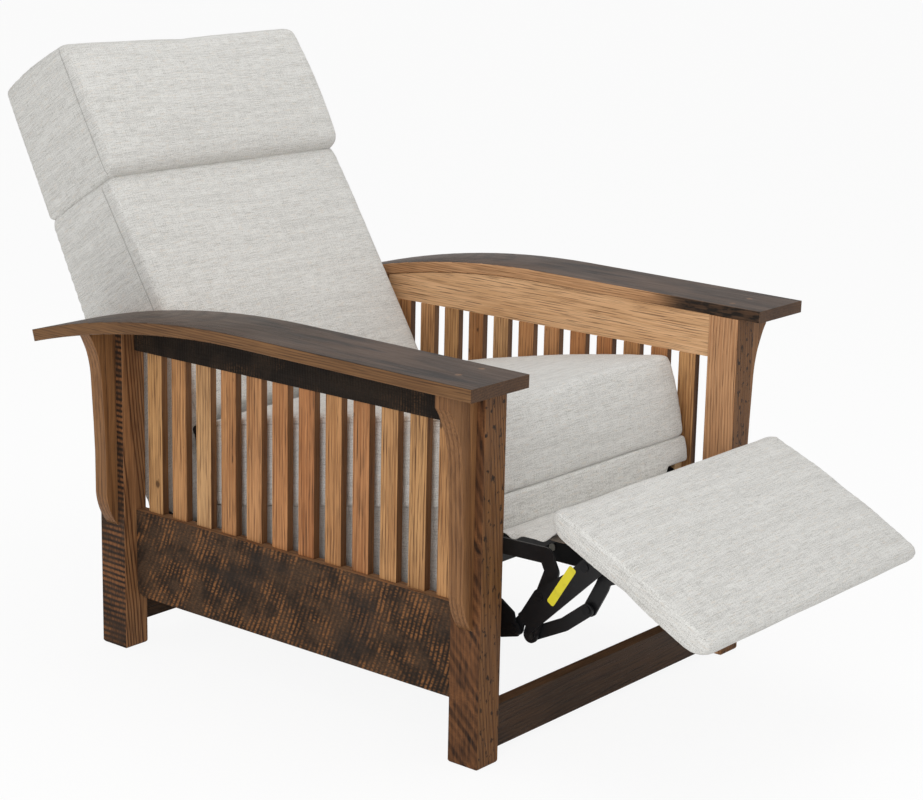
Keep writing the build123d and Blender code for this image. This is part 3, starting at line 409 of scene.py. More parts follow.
slatTints = ((0.0, (255, 240, 216)), (0.2, (236, 206, 176)), (0.4, (255, 250, 236)),
             (0.6, (238, 196, 164)), (0.8, (250, 238, 214)), (1.0, (244, 214, 184)))
slatBoards = {"first": -0.3050, "pitch": 0.05454, "knot": (62, 40, 27),
              "tints": [(stop, paint(*tint)) for stop, tint in slatTints]}
slatLook = {**oakBase, "light": (206, 166, 124), "dark": (156, 116, 80), "pore": (84, 56, 37),
            "ringsPerMetre": 170, "ringShare": 0.30, "lean": 0.03, "poreShare": 0.95,
            # the slats' front sides face the gaps between slats and are coloured darker: painted
            # shade
            "finishAndShade": [{"axis": "Y", "sign": -1, "light": (126, 88, 56), "dark": (92, 62, 39)}]}
corbelLook = {**oakBase, "light": (148, 106, 68), "dark": (108, 73, 45), "ringsPerMetre": 130,
              "ringShare": 0.4, "roughness": 0.42, "poreShare": 0.5}
stretcherLook = {**oakBase, "grain": "X", "light": (74, 53, 37), "dark": (46, 33, 24),
                 "pore": (20, 13, 9), "roughness": 0.42, "poreShare": 0.6, "heart": (0, -0.2, 0.1),
                 # the top face is coloured lighter than the rest of the piece
                 "finishAndShade": [{"axis": "Z", "sign": 1, "light": (124, 92, 66),
                              "dark": (92, 66, 46)}]}
plugLook = {**oakBase, "light": (140, 112, 90), "dark": (104, 80, 62), "ringsPerMetre": 900,
            "relief": 0.0002}
hardwoodLook = {**oakBase, "grain": "Y", "light": (196, 164, 124), "dark": (172, 138, 100),
                "poreShare": 0.3, "ringShare": 0.2, "roughness": 0.62}


def lowerRail(side):
    return {**oakBase, "grain": "Y", "light": (104, 78, 58), "dark": (70, 52, 40), "roughness": 0.6,
            "heart": (side * 0.4, 0.0, 0.1), "sawn": [sawnFace("X", side, "Y", "Z")],
            # the top face is coloured lighter than the rest of the piece
            "finishAndShade": [{"axis": "Z", "sign": 1, "light": (170, 128, 92), "dark": (128, 92, 64)}]}


def upperRail(side):
    # the outer sawn face is darker than on the lower rails: rough-sawn wood, with painted shade
    # from the arm's overhang
    sawn = sawnFace("X", side, "Y", "Z", pitch=0.0052, centre=(3.5, 0.5), patch=10,
                    patchRange=(0.5, 0.7), ground=((44, 35, 27), (25, 20, 16)),
                    ridge=(76, 56, 39), cold=(27, 23, 20), least=0.1)
    inner = {"axis": "X", "sign": -side, "light": (230, 186, 142), "dark": (198, 152, 108)}
    return {**oakBase, "grain": "Y", "light": (96, 72, 52), "dark": (60, 46, 36), "roughness": 0.6,
            "heart": (side * 0.42, 0.0, 0.6), "sawn": [sawn], "ringShare": 0.2, "finishAndShade": [inner]}


def armBoard(side):
    # dark satin top, brown outer edge, paler edge towards the seat with dark bark near the front
    inner = {"axis": "X", "sign": -side, "light": (204, 158, 116), "dark": (160, 116, 78)}
    top = {"axis": "Z", "sign": 1, "light": (88, 68, 54), "dark": (58, 44, 34),
           "blot": (40, 30, 24), "blotScale": (34, 7, 1), "blotRange": (0.52, 0.7)}
    front = {"axis": "Y", "sign": -1, "light": (92, 66, 46), "dark": (62, 43, 30)}
    bark = {**inner, "light": (84, 62, 46), "dark": (52, 40, 32), "blot": (34, 28, 24),
            "blotScale": (40, 40, 160), "blotRange": (0.45, 0.6), "beyond": ("Y", -1, 0.19, 0.27)}
    return {**oakBase, "grain": "Y", "light": (130, 94, 60), "dark": (92, 63, 39),
            "pore": (40, 27, 18), "poreShare": 0.55, "roughness": 0.42,
            "heart": (side * 0.35, 0.0, 0.2), "relief": 0.0003, "ringShare": 0.35,
            "finishAndShade": [top, front, inner, bark]}


def dress(material, *names):
    for name in names:
        for slot in nodes[name].material_slots:
            slot.link = "OBJECT"
            slot.material = material


arris = {"merge": 0.00002, "segments": 2, "sharperThan": radians(40), "post": 0.0014,
         "lowerRail": 0.0016, "upperRail": 0.0010, "slat": 0.0010, "arm": 0.0018,
         "corbel": 0.0014, "stretcher": 0.0014}


def eased(node, material, width):
    # A board with worn arrises stands for its CAD node: the node's mesh is copied and merged, and
    # its sharp edges are rounded by the width.
    first, *rest = node.split("_")
    name = first + "".join(word.capitalize() for word in rest)
    piece = bpy.data.objects.new(name, nodes[node].data.copy())
    scene.collection.objects.link(piece)
    piece.data.materials.clear()
    piece.data.materials.append(material)
    weld = piece.modifiers.new("merged", "WELD")
    weld.merge_threshold = arris["merge"]
    bevel = piece.modifiers.new("arris", "BEVEL")
    bevel.width = width
    bevel.segments = arris["segments"]
    bevel.limit_method = "ANGLE"
    bevel.angle_limit = arris["sharperThan"]
    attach(piece, "frame")
    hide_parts(node)


def dressWood():
    for name, side in sides.items():
        slats = {**slatLook, "heart": (side * 0.36, -0.6, 0.3)}
        corbels = {**corbelLook, "heart": (side * 0.45, 0.1, 0.3)}
        boards = {**slatBoards, "seed": 3.0 + side}
        for kind, words, look, width, slot in (
                ("post_front_", "front post ", frontPost(side), arris["post"], "oak"),
                ("post_rear_", "rear post ", rearPost(side), arris["post"], "oak"),
                ("lower_rail_", "lower rail ", lowerRail(side), arris["lowerRail"], "oak_dark"),
                ("upper_rail_", "upper rail ", upperRail(side), arris["upperRail"], "oak_dark"),
                ("arm_", "arm ", armBoard(side), arris["arm"], "oak_dark"),
                ("corbels_", "corbels ", corbels, arris["corbel"], "oak_dark")):
            eased(kind + name, makeOak(words + name, look), width)
        eased("slats_" + name, makeOak("slats " + name, slats, boards), arris["slat"])
    for name in ("front_stretcher", "rear_stretcher"):
        material = makeOak(name.replace("_", " "), stretcherLook)
        eased(name, material, arris["stretcher"])
    dress(makeOak("arm plug end grain", plugLook), "arm_plugs")
    dress(makeOak("frame hardwood along", hardwoodLook), "cleat_right", "cleat_left",
          "seat_side_rail_right", "seat_side_rail_left")
    dress(makeOak("frame hardwood across", {**hardwoodLook, "grain": "X"}), "seat_front_rail",
          "seat_rear_rail", "back_top_rail", "back_middle_rail", "back_bottom_rail")
    dress(makeOak("frame hardwood upright", {**hardwoodLook, "grain": "Z"}),
          "back_upright_right", "back_upright_left")
    print("wood dressed")


# Steel

def makeSteel(name, colour, worn, metallic, roughness):
    # sprayed or plated steel: a fine orange-peel, faint rub marks and a little dust
    bench = Bench(name, **{"Metallic": metallic, "Specular IOR Level": 0.45})
    peel = bench.noise(bench.place, 700.0)
    rubbed = bench.noise(bench.place, 34.0, 5.0, 0.65).rise(0.56, 0.78)
    strokes = bench.speckle(bench.x * 40, bench.y * 30, bench.z * 700).rise(0.62, 0.75)
    shade = bench.mixed(rubbed * 0.35 + strokes * 0.12, paint(*colour), paint(*worn))
    return bench.finish(shade, roughness + (peel - 0.5) * 0.2 + rubbed * 0.12, peel, 0.0002)


def dressSteel():
    black = makeSteel("black sprayed steel", (25, 25, 27), (58, 57, 57), 0.25, 0.38)
    dress(black, "base_plate_right", "base_plate_left", "hinge_plates", "linkage_plates",
          "cross_bar", "back_brackets", "curved_links", "wide_links", "rear_links", "lower_links",
          "footrest_brackets")
    dull = makeSteel("black rivets", (34, 34, 36), (96, 94, 90), 0.6, 0.35)
    dress(dull, "curved_link_pins", "wide_link_pins", "footrest_pins", "seat_pins",
          "seat_pivot_pins", "back_pins")
    zinc = makeSteel("zinc plated screws", (168, 166, 158), (120, 116, 108), 0.9, 0.34)
    dress(zinc, "rail_bolts", "cleat_screws", "footrest_screws")
    print("steel dressed")


# Cloth

# seam is the colour of the painted shade in the seams' creases and of their stitches
clothLook = {"thread": 0.0018, "pale": (233, 232, 228), "shade": (184, 182, 177),
             "fleck": (164, 159, 151), "warm": (220, 211, 199), "seam": (140, 135, 129),
             "seamWidth": 0.0013, "stitch": 0.0042, "stitchAside": 0.004, "relief": 0.0005}
# the same linen coloured darker and taupe: painted shade for the cloth under the footrest
linenInShadeLook = {**clothLook, "pale": (166, 150, 134), "shade": (132, 117, 103),
              "fleck": (112, 99, 88), "warm": (150, 132, 114), "relief": 0.0003}


def makeLinen(name, look):
    # Plain weave on the cloth's own map, in metres: uneven thread crossings, slubs along the weft
    # and a few warm threads. The seam is the line where the signed seamGap attribute crosses zero.
    bench = Bench(name, **{"Sheen Weight": 0.2, "Sheen Roughness": 0.5, "Specular IOR Level": 0.18})
    u, v, _ = bench.parts(bench.node("ShaderNodeUVMap", {"uv_map": "weave"}, {}))
    turn = 2 * pi / look["thread"]
    knots, threads, spans = (share / look["thread"] for share in (1.15, 1.0, 0.9))
    drift = bench.speckle(u * 45, v * 45, 0.0)
    weave = (u * turn + drift * 5).sine() * (v * turn + drift * 4).sine()
    crossings = bench.speckle(u * knots, v * knots, 2.0)
    slubs = bench.speckle(u * 42, v * threads, 5.0)
    lengths = bench.speckle(u * spans, v * 42, 8.0, 1.0)
    broad = bench.speckle(u * 6, v * 90, 7.0, 3.0)
    tone = ((crossings - 0.5) * 2.4 + (slubs - 0.5) * 1.2 + (lengths - 0.5) * 0.7 + weave * 0.25
            + (broad - 0.5) * 0.7 + 0.40)
    colour = bench.mixed(tone.rise(-0.1, 1.1), paint(*look["pale"]), paint(*look["shade"]))
    warm = bench.speckle(u * 60, v * 300, 11.0, 1.0).rise(0.58, 0.7)
    colour = bench.mixed(warm * 0.45, colour, paint(*look["warm"]))
    flecks = (crossings + slubs - 1.0).rise(0.14, 0.30)
    colour = bench.mixed(flecks * 0.5, colour, paint(*look["fleck"]))
    gap, run = (bench.node("ShaderNodeAttribute", {"attribute_name": kind}, {}, "Fac")
                for kind in ("seamGap", "seamRun"))
    # the seam line is painted shade of the seam's crease, darkening the cloth towards the seam
    # colour; the dashes beside it are stitches
    line = abs(gap).rise(look["seamWidth"], look["seamWidth"] * 0.3)
    dashes = (run * (2 * pi / look["stitch"])).sine().rise(-0.5, 0.1)
    stitch = abs(gap - look["stitchAside"]).rise(0.0010, 0.0004) * dashes
    colour = bench.mixed(line * 0.45 + stitch * 0.12, colour, paint(*look["seam"]))
    relief = weave * 0.3 + (crossings - 0.5) * 1.3 + (slubs - 0.5) * 0.8 - line * 2.0 - stitch * 0.6
    return bench.finish(colour, 0.86 + (crossings - 0.5) * 0.12, relief, look["relief"])


linen = makeLinen("linen", clothLook)
linenInShade = makeLinen("linen in painted shade", linenInShadeLook)


def makeWebbing():
    # woven strap: a fine twill along the strap
    bench = Bench("webbing", **{"Sheen Weight": 0.2, "Specular IOR Level": 0.2})
    twill = ((bench.x + bench.y + bench.z) * (2 * pi / 0.0032)).sine()
    fibre = bench.noise(bench.place, 500.0)
    share = twill.rise(-1.0, 1.0) * 0.5 + fibre * 0.3
    colour = bench.mixed(share, paint(74, 66, 58), paint(38, 33, 29))
    return bench.finish(colour, 0.8 + (fibre - 0.5) * 0.1, twill * 0.5 + fibre, 0.0005)


# Soft shapes

def arcLengths(path):
    # the length along an open line at each of its points
    return np.concatenate(([0], np.cumsum(np.linalg.norm(np.diff(path, axis=0), axis=1))))


def resampled(path, count, endpoint):
    # evenly spaced points along a line, and their places along it
    run = arcLengths(path)
    wanted = np.linspace(0, run[-1], count, endpoint=endpoint)
    return np.stack([np.interp(wanted, run, path[:, k]) for k in (0, 1)], axis=1), wanted


def sideLoop(corners, bulges, softness, count=260):
    # Closed side view: each side is a flat arc that stands out by its bulge, the line is resampled
    # evenly, and a moving average about as long as the rounding softens its corners.
    start = np.asarray(corners, float)
    end = np.roll(start, -1, axis=0)
    t = np.linspace(0, 1, 60, endpoint=False)[None, :, None]
    along = end - start
    square = np.stack((along[:, 1], -along[:, 0]), axis=1) / np.linalg.norm(along, axis=1)[:, None]
    turning = np.sign(np.sum(start[:, 0] * end[:, 1] - start[:, 1] * end[:, 0]))
    lift = np.asarray(bulges, float)[:, None, None] * turning * 4 * t * (1 - t)
    loop = (start[:, None] + along[:, None] * t + square[:, None] * lift).reshape(-1, 2)
    loop, _ = resampled(np.vstack((loop, loop[:1])), count, False)
    length = np.linalg.norm(np.roll(loop, -1, axis=0) - loop, axis=1).sum()
    place = np.minimum(np.arange(count), count - np.arange(count)) * length / count
    weights = np.exp(-0.5 * (place / softness) ** 2)
    spectrum = np.fft.rfft(weights / weights.sum())
    return np.stack([np.fft.irfft(np.fft.rfft(loop[:, k]) * spectrum, count) for k in (0, 1)],
                    axis=1)


def gridFaces(rows, columns, closed=True):
    # quads between the rows of a grid, wrapped round the columns when it is closed
    spans = columns if closed else columns - 1
    row, column = np.meshgrid(np.arange(rows - 1), np.arange(spans), indexing="ij")
    follow = (column + 1) % columns
    corners = (row * columns + column, row * columns + follow, (row + 1) * columns + follow,
               (row + 1) * columns + column)
    return np.stack([c.ravel() for c in corners], axis=1)


def meshObject(name, points, faces):
    mesh = bpy.data.meshes.new(name)
    mesh.from_pydata(np.asarray(points, float).tolist(), [], [list(map(int, f)) for f in faces])
    mesh.update()
    made = bpy.data.objects.new(name, mesh)
    scene.collection.objects.link(made)
    return made


def pointsOf(piece):
    points = np.empty(len(piece.data.vertices) * 3)
    piece.data.vertices.foreach_get("co", points)
    return points.reshape(-1, 3)


def setPoints(piece, points):
    piece.data.vertices.foreach_set("co", points.ravel())
    piece.data.update()


def cornersOf(mesh):
    # the point at each corner of each face
    corner = np.empty(len(mesh.loops), int)
    mesh.loops.foreach_get("vertex_index", corner)
    return corner


def addValues(mesh, name, values):
    layer = mesh.attributes.new(name, "FLOAT", "POINT")
    layer.data.foreach_set("value", np.asarray(values, np.float32))


def addWeave(mesh, uvs):
    layer = mesh.uv_layers.new(name="weave")
    layer.data.foreach_set("uv", uvs.astype(np.float32).ravel())


def bakeModifiers(piece):
    graph = bpy.context.evaluated_depsgraph_get()
    made = bpy.data.meshes.new_from_object(piece.evaluated_get(graph))
    piece.modifiers.clear()
    piece.data = made


def clothed(piece, material, body):
    # one finer level, the cloth and the body that the piece rides on
    finer = piece.modifiers.new("finer", "SUBSURF")
    finer.levels = finer.render_levels = 1
    piece.data.materials.clear()
    piece.data.materials.append(material)
    piece.data.shade_smooth()
    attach(piece, body)


def cushionSkin(name, loop, look):
    # The side view at each place across, pulled towards its middle near the ends along a quarter
    # ellipse: share = 1 - sqrt(1 - (1 - distance / rounding)^2), times the draw and the pull of
    # each point of the loop. Flat end panels close it.
    middle = loop.mean(axis=0)
    towards = (middle - loop) / np.linalg.norm(loop - middle, axis=1)[:, None]
    distance = np.array((0.0, 0.04, 0.12, 0.25, 0.45, 0.7, 1.0)) * look["rounding"]
    share = 1 - np.sqrt(1 - (1 - distance / look["rounding"]) ** 2)
    half = look["half"]
    place = np.concatenate((-(half - distance), [0], (half - distance)[::-1]))
    share = np.concatenate((share, [0], share[::-1]))
    pull = look["pull"](loop)[None, :, None]
    rings = loop[None] + towards[None] * look["draw"] * share[:, None, None] * pull
    across = np.broadcast_to(place[:, None, None], rings.shape[:2] + (1,))
    points = np.concatenate((across, rings), axis=2).reshape(-1, 3)
    rows, columns = rings.shape[:2]
    faces = [list(f) for f in gridFaces(rows, columns)]
    faces.append(list(range(columns))[::-1])
    faces.append([(rows - 1) * columns + i for i in range(columns)])
    return meshObject(name, points, faces)


def nearLoop(flat, loop):
    # signed distance from the side view's line, positive inside it, and the length along it
    following = np.roll(loop, -1, axis=0)
    along = following - loop
    lengths = np.linalg.norm(along, axis=1)
    runStart = np.concatenate(([0], np.cumsum(lengths)[:-1]))
    turning = np.sign(np.sum(loop[:, 0] * following[:, 1] - loop[:, 1] * following[:, 0]))
    gap, run = np.empty(len(flat)), np.empty(len(flat))
    for first in range(0, len(flat), 4000):
        some = flat[first:first + 4000]
        offset = some[:, None] - loop[None]
        t = np.clip((offset * along).sum(2) / (lengths ** 2), 0, 1)
        apart = offset - along * t[..., None]
        distance = np.linalg.norm(apart, axis=2)
        best = distance.argmin(axis=1)
        rows = np.arange(len(some))
        cross = along[best, 0] * apart[rows, best, 1] - along[best, 1] * apart[rows, best, 0]
        gap[first:first + 4000] = distance[rows, best] * np.where(cross * turning >= 0, 1, -1)
        run[first:first + 4000] = runStart[best] + t[rows, best] * lengths[best]
    return gap, run, lengths.sum()


endPanel = {"edge": 0.004, "faceEdge": 0.0035, "uvPlace": (1.7, 1.3)}


def sewn(piece, loop, look):
    # Writes the seam and weave maps from the shape before it is puffed: the end panels are mapped
    # flat, and the main panel is unrolled along the side view.
    points, mesh = pointsOf(piece), piece.data
    out, side = np.abs(points[:, 0]), np.sign(points[:, 0])
    inside, run, length = nearLoop(points[:, 1:], loop)
    inward = side * np.clip(inside, 0, look["draw"]) * (out > look["half"] - look["rounding"])
    forth, lift = onSlope(look["axes"], points[:, 1:])
    gap = np.where(out > look["half"] - endPanel["edge"], look["seam"](forth, lift), 1.0)
    addValues(mesh, "seamGap", gap)
    addValues(mesh, "seamRun", lift)
    corner = cornersOf(mesh)
    size = np.empty(len(mesh.polygons), int)
    mesh.polygons.foreach_get("loop_total", size)
    owner = np.repeat(np.arange(len(size)), size)
    centre = np.zeros((len(size), 3))
    np.add.at(centre, owner, points[corner])
    centre /= size[:, None]
    faceRun = nearLoop(centre[:, 1:], loop)[1]
    turns = np.round((faceRun[owner] - run[corner]) / length)
    main = np.stack(((points[:, 0] + inward)[corner], run[corner] + turns * length), axis=1)
    end = np.stack((forth, lift), axis=1)[corner] + endPanel["uvPlace"]
    onEnd = np.abs(centre[:, 0]) > look["half"] - endPanel["faceEdge"]
    addWeave(mesh, np.where(onEnd[owner][:, None], end, main))
    return gap


puffing = {"frames": 20, "besideSeam": 0.0035,
           "cloth": {"use_pressure": True, "quality": 5, "mass": 0.3, "tension_stiffness": 15,
                     "compression_stiffness": 15, "shear_stiffness": 8, "bending_stiffness": 0.6}}


def puffed(piece, gap, look):
    # Blows the closed cloth up with its seams and what it rests on held, then scales the travel so
    # that its longest is the cap.
    start = pointsOf(piece)
    pins = piece.vertex_groups.new(name="held")
    for index in np.nonzero((np.abs(gap) < puffing["besideSeam"]) | look["held"](start))[0]:
        pins.add([int(index)], 1.0, "REPLACE")
    cloth = piece.modifiers.new("puff", "CLOTH")
    for setting, value in puffing["cloth"].items():
        setattr(cloth.settings, setting, value)
    cloth.settings.uniform_pressure_force = look["pressure"]
    cloth.settings.vertex_group_mass = pins.name
    cloth.settings.effector_weights.gravity = 0
    cloth.collision_settings.use_collision = False
    cloth.point_cache.frame_start = 1
    cloth.point_cache.frame_end = puffing["frames"]
    for step in range(1, puffing["frames"] + 1):
        scene.frame_set(step)
        bpy.context.view_layer.update()
    bakeModifiers(piece)
    moved = pointsOf(piece) - start
    longest = float(np.linalg.norm(moved, axis=1).max())
    setPoints(piece, start + moved * min(1.0, look["cap"] / max(longest, 1e-9)))
    scene.frame_set(1)
    print(piece.name, "travelled up to", round(longest * 1000, 1), "mm before the cap")


pinching = {"reach": 0.0045, "depth": 0.0010}


def makeCushion(name, look):
    loop = sideLoop(look["at"](*np.array(look["corners"]).T), look["bulges"], look["softness"])
    piece = cushionSkin(name, loop, look)
    remesh = piece.modifiers.new("voxels", "REMESH")
    remesh.mode = "VOXEL"
    remesh.voxel_size = look["voxel"]
    bakeModifiers(piece)
    gap = sewn(piece, loop, look)
    puffed(piece, gap, look)
    smooth = piece.modifiers.new("ease", "SMOOTH")
    smooth.iterations = look["easing"]
    bakeModifiers(piece)
    points = pointsOf(piece)
    normals = np.empty(points.size)
    piece.data.vertices.foreach_get("normal", normals)
    x, y, z = points.T
    ripple = (np.sin(x * 21 + y * 13) * np.sin(y * 17 - z * 19 + 1.3)
              + 0.5 * np.sin(x * 43 + z * 31))
    pinch = np.exp(-(gap / pinching["reach"]) ** 2) * pinching["depth"]
    setPoints(piece, points + normals.reshape(-1, 3) * (ripple * look["ripple"] - pinch)[:, None])
    clothed(piece, linen, look["body"])
    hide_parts(*look["replaces"])
    print(name, len(piece.data.polygons), "faces")


def onSlope(axes, flat):
    # the two measures of points along a slope's directions
    spot = flat - axes["corner"]
    return spot @ axes["forth"], spot @ axes["lift"]


def seatHeld(points):
    return onSlope(seatAxes, points[:, 1:])[1] < 0.006


def backHeld(points):
    rear, up = onSlope(backAxes, points[:, 1:])
    return (rear > 0.10) | (up < -0.02) | (up > 0.427)


def pillowHeld(points):
    rear, up = onSlope(backAxes, points[:, 1:])
    return (rear > 0.095) | (up < 0.437)


def padHeld(points):
    return onSlope(padAxes, points[:, 1:])[1] < -0.022


def allRound(loop):
    return np.ones(len(loop))


def frontOnly(loop):
    # full draw at the back's front, little at its rear, top and foot
    rear, up = onSlope(backAxes, loop)
    return 0.15 + 0.85 / (1 + np.exp((rear - 0.02) / 0.012))


def footHeavy(loop):
    # the pad's underside draws in more than its top
    lift = onSlope(padAxes, loop)[1]
    return 0.6 + 1.0 / (1 + np.exp((lift + 0.012) / 0.004))


def rearFace(up):
    # how far rear the back's flat rear face lies
    return 0.1138 + (0.656 - up) * 0.1033


def noSeam(forth, lift):
    return np.ones(len(forth))


def pillowSeam(rear, up):
    return rear + 0.032 + (up - 0.43) * 0.05


def backSeam(rear, up):
    return rear + 0.008 - np.clip(-up, 0, 1) * 0.45


def rimSeam(run, rise):
    # a seam a little inside the seat's end panel, along its top
    return 0.128 - rise


cushions = {
    "seatCushion": {
        "at": seatAt, "corners": ((-0.0005, -0.0012), (0.518, -0.0012), (0.5334, 0.09),
                                  (0.497, 0.137), (0.0095, 0.1325)),
        "bulges": (0, 0.001, 0.008, 0.007, 0.004), "softness": 0.0052, "half": 0.2815,
        "draw": 0.007, "rounding": 0.012, "pull": allRound, "voxel": 0.0070, "axes": seatAxes,
        "seam": rimSeam, "held": seatHeld, "pressure": 4.0, "cap": 0.007, "ripple": 0.0005,
        "easing": 2, "body": "seat", "replaces": ("seat_cushion",), "fill": 0.75},
    "backCushion": {
        "at": backAt, "corners": ((0.4335, rearFace(0.4335)), (-0.120, rearFace(-0.120)),
                                  (-0.120, 0.041), (-0.010, 0.033), (0.020, -0.031),
                                  (0.4335, -0.0345)),
        "bulges": (0, 0, 0, 0, 0.004, 0), "softness": 0.003, "half": 0.2655,
        "draw": 0.013, "rounding": 0.024, "pull": frontOnly, "voxel": 0.0078, "axes": backAxes,
        "seam": backSeam, "held": backHeld, "pressure": 3.0, "cap": 0.006, "ripple": 0.0005,
        "easing": 1, "body": "back", "replaces": ("back_cushion",), "fill": 0.7},
    "headrestPillow": {
        "at": backAt, "corners": ((0.4295, rearFace(0.4295) + 0.001), (0.4280, -0.036),
                                  (0.447, -0.056), (0.648, -0.0610), (0.6605, -0.048),
                                  (0.6610, rearFace(0.656) + 0.001)),
        "bulges": (0, 0.004, 0.006, 0.002, 0.005, 0), "softness": 0.0038, "half": 0.2670,
        "draw": 0.010, "rounding": 0.018, "pull": frontOnly, "voxel": 0.0064, "axes": backAxes,
        "seam": pillowSeam, "held": pillowHeld, "pressure": 3.5, "cap": 0.006, "ripple": 0.0005,
        "easing": 1, "body": "back", "replaces": ("headrest_pillow",), "fill": 0.75},
    "footrestPad": {
        "at": padAt, "corners": ((0.018, -0.030), (0.002, -0.018), (-0.0030, -0.006),
                                 (0.004, 0.003), (0.295, 0.003), (0.3025, -0.006),
                                 (0.298, -0.018), (0.281, -0.030)),
        "bulges": (0.001, 0.001, 0.001, 0.007, 0.001, 0.001, 0.001, 0), "softness": 0.004,
        "half": 0.2855, "draw": 0.0105, "rounding": 0.018, "pull": footHeavy, "voxel": 0.0058,
        "axes": padAxes, "seam": noSeam, "held": padHeld, "pressure": 3.0, "cap": 0.005,
        "ripple": 0.0004, "easing": 2, "body": "footrest",
        "replaces": ("footrest_pad", "footrest_board"), "fill": 0.7},
}


# Thin cloth

def clothPanel(name, points, uvs, flip, material, body, thickness):
    # a sheet over a grid of points, turned over where flip says so
    faces = gridFaces(*points.shape[:2], False)
    piece = meshObject(name, points.reshape(-1, 3), faces[:, ::-1] if flip else faces)
    addWeave(piece.data, uvs.reshape(-1, 2)[cornersOf(piece.data)])
    for kind in ("seamGap", "seamRun"):
        addValues(piece.data, kind, np.ones(len(piece.data.vertices)))
    solid = piece.modifiers.new("thickness", "SOLIDIFY")
    solid.thickness = thickness
    solid.offset = 0
    clothed(piece, material, body)
    return piece


def sheetGrid(path, across):
    # a path in the side view carried across the chair; u runs across and v along the path
    u, v = np.meshgrid(across, arcLengths(path), indexing="ij")
    flat = np.broadcast_to(path, u.shape + (2,))
    return np.concatenate((u[..., None], flat), axis=2), np.stack((u, v), axis=2)


def softPath(corners, softness, count):
    # an open line through the corners, evenly resampled and eased, with its ends kept
    line, wanted = resampled(np.asarray(corners, float), count, True)
    weights = np.exp(-0.5 * ((wanted[:, None] - wanted[None]) / softness) ** 2)
    softer = (weights / weights.sum(axis=1)[:, None]) @ line
    keep = np.clip(np.minimum(wanted, wanted[-1] - wanted) / (2 * softness), 0, 1)[:, None]
    return line * (1 - keep) + softer * keep


def fromFront(path):
    # places given as depth and height on the drawing
    return np.array(path) - (setback, 0)


bandLook = {"half": 0.2800, "middle": 0.215, "deep": 0.0400, "middleDeep": 0.0518, "rows": 36,
            "columns": 161, "turned": 0.009, "tuck": 0.005, "tuckReach": 0.004, "pull": 0.0006,
            "path": ((0.0150, 0.0002), (0.0040, 0.0002), (-0.0006, -0.002), (-0.0016, -0.012),
                     (-0.0020, -0.024), (-0.0010, -0.035), (0.0004, -0.0392), (0.0026, -0.0406),
                     (0.0052, -0.039))}


def makeFrontBand():
    # The cloth band over the front rail, longer in its middle part, with its edge turned under and
    # its ends folded round the rail.
    half, rows = bandLook["half"], bandLook["rows"]
    line = softPath(seatAt(*np.array(bandLook["path"]).T), 0.0012, rows)
    across = np.linspace(-half, half, bandLook["columns"])
    points, uvs = sheetGrid(line, across)
    out = np.abs(across)
    longer = 1 / (1 + np.exp((out - bandLook["middle"] - 0.004) / 0.0016))
    share = np.clip((np.arange(rows) - 8) / 20, 0, 1) ** 2
    drop = (longer[:, None] * share[None]) * (bandLook["middleDeep"] - bandLook["deep"])
    points[:, :, 1:] -= drop[..., None] * seatAxes["lift"]
    reach = bandLook["tuckReach"]
    tuck = np.clip((out - half + reach) / reach, 0, 1)[:, None] ** 2 * bandLook["tuck"]
    points[:, :, 1:] += tuck[..., None] * seatAxes["forth"]
    x = points[:, :, 0]
    points[:, :, 1] += (bandLook["pull"] * np.sin(x * 60 + share[None] * 5) * np.sin(x * 23 + 1)
                        * share[None])
    piece = clothPanel("frontBand", points, uvs, True, linen, "seat", 0.0010)
    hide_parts("seat_front_band")


sideLook = {"face": 0.2691, "over": 0.2727, "puff": 0.0010, "rear": 0.560, "rearLow": 0.199,
            "frontLow": (0.0776, 0.2125), "hem": 0.86, "hinge": 0.60, "turned": 0.011,
            "wrinkle": 0.0005, "map": (0.56, 0.13)}


def makeSideCovers():
    # Cloth over the outer face of each seat side rail, turned under its lower edge; towards the
    # rear it passes outside the hinge plate.
    topFront, topRear = seatAt(-0.0005, -0.0002), seatAt(sideLook["rear"], -0.0002)
    lowRear = np.array((seatAt(sideLook["rear"], 0)[0], sideLook["rearLow"]))
    lowFront = fromFront(sideLook["frontLow"])
    s, t = np.meshgrid(np.linspace(0, 1, 110), np.linspace(0, 1, 26), indexing="ij")
    top = topFront * (1 - s[..., None]) + topRear * s[..., None]
    low = lowFront * (1 - s[..., None]) + lowRear * s[..., None]
    hem = sideLook["hem"]
    down, under = np.clip(t / hem, 0, 1), np.clip((t - hem) / (1 - hem), 0, 1)
    flat = top * (1 - down[..., None]) + low * down[..., None]
    flat[..., 1] -= 0.0012 * np.sin(under * pi / 2)
    step = 1 / (1 + np.exp((sideLook["hinge"] - s) / 0.02))
    out = sideLook["face"] + (sideLook["over"] - sideLook["face"]) * step
    out = out + sideLook["puff"] * np.sin(down * pi) ** 0.5
    out = (out + sideLook["wrinkle"] * np.sin(s * 60 + 2 * t) * np.sin(t * 8 + s * 20)
           - sideLook["turned"] * under * (1 - step))
    uvs = np.stack((s, t), axis=2) * sideLook["map"]
    for name, side in sides.items():
        points = np.stack((side * out, flat[..., 0], flat[..., 1]), axis=2)
        piece = clothPanel("sideCover_" + name, points, uvs, side > 0, linen, "seat", 0.0009)


flapLook = {"half": 0.2128, "rows": 60, "columns": 141, "loose": 0.022, "ripple": 0.0012,
            "path": ((0.0702, 0.3125), (0.0440, 0.3150), (0.0150, 0.3138), (-0.0100, 0.3164),
                     (-0.0420, 0.3410), (-0.0610, 0.3575), (-0.0690, 0.3620))}


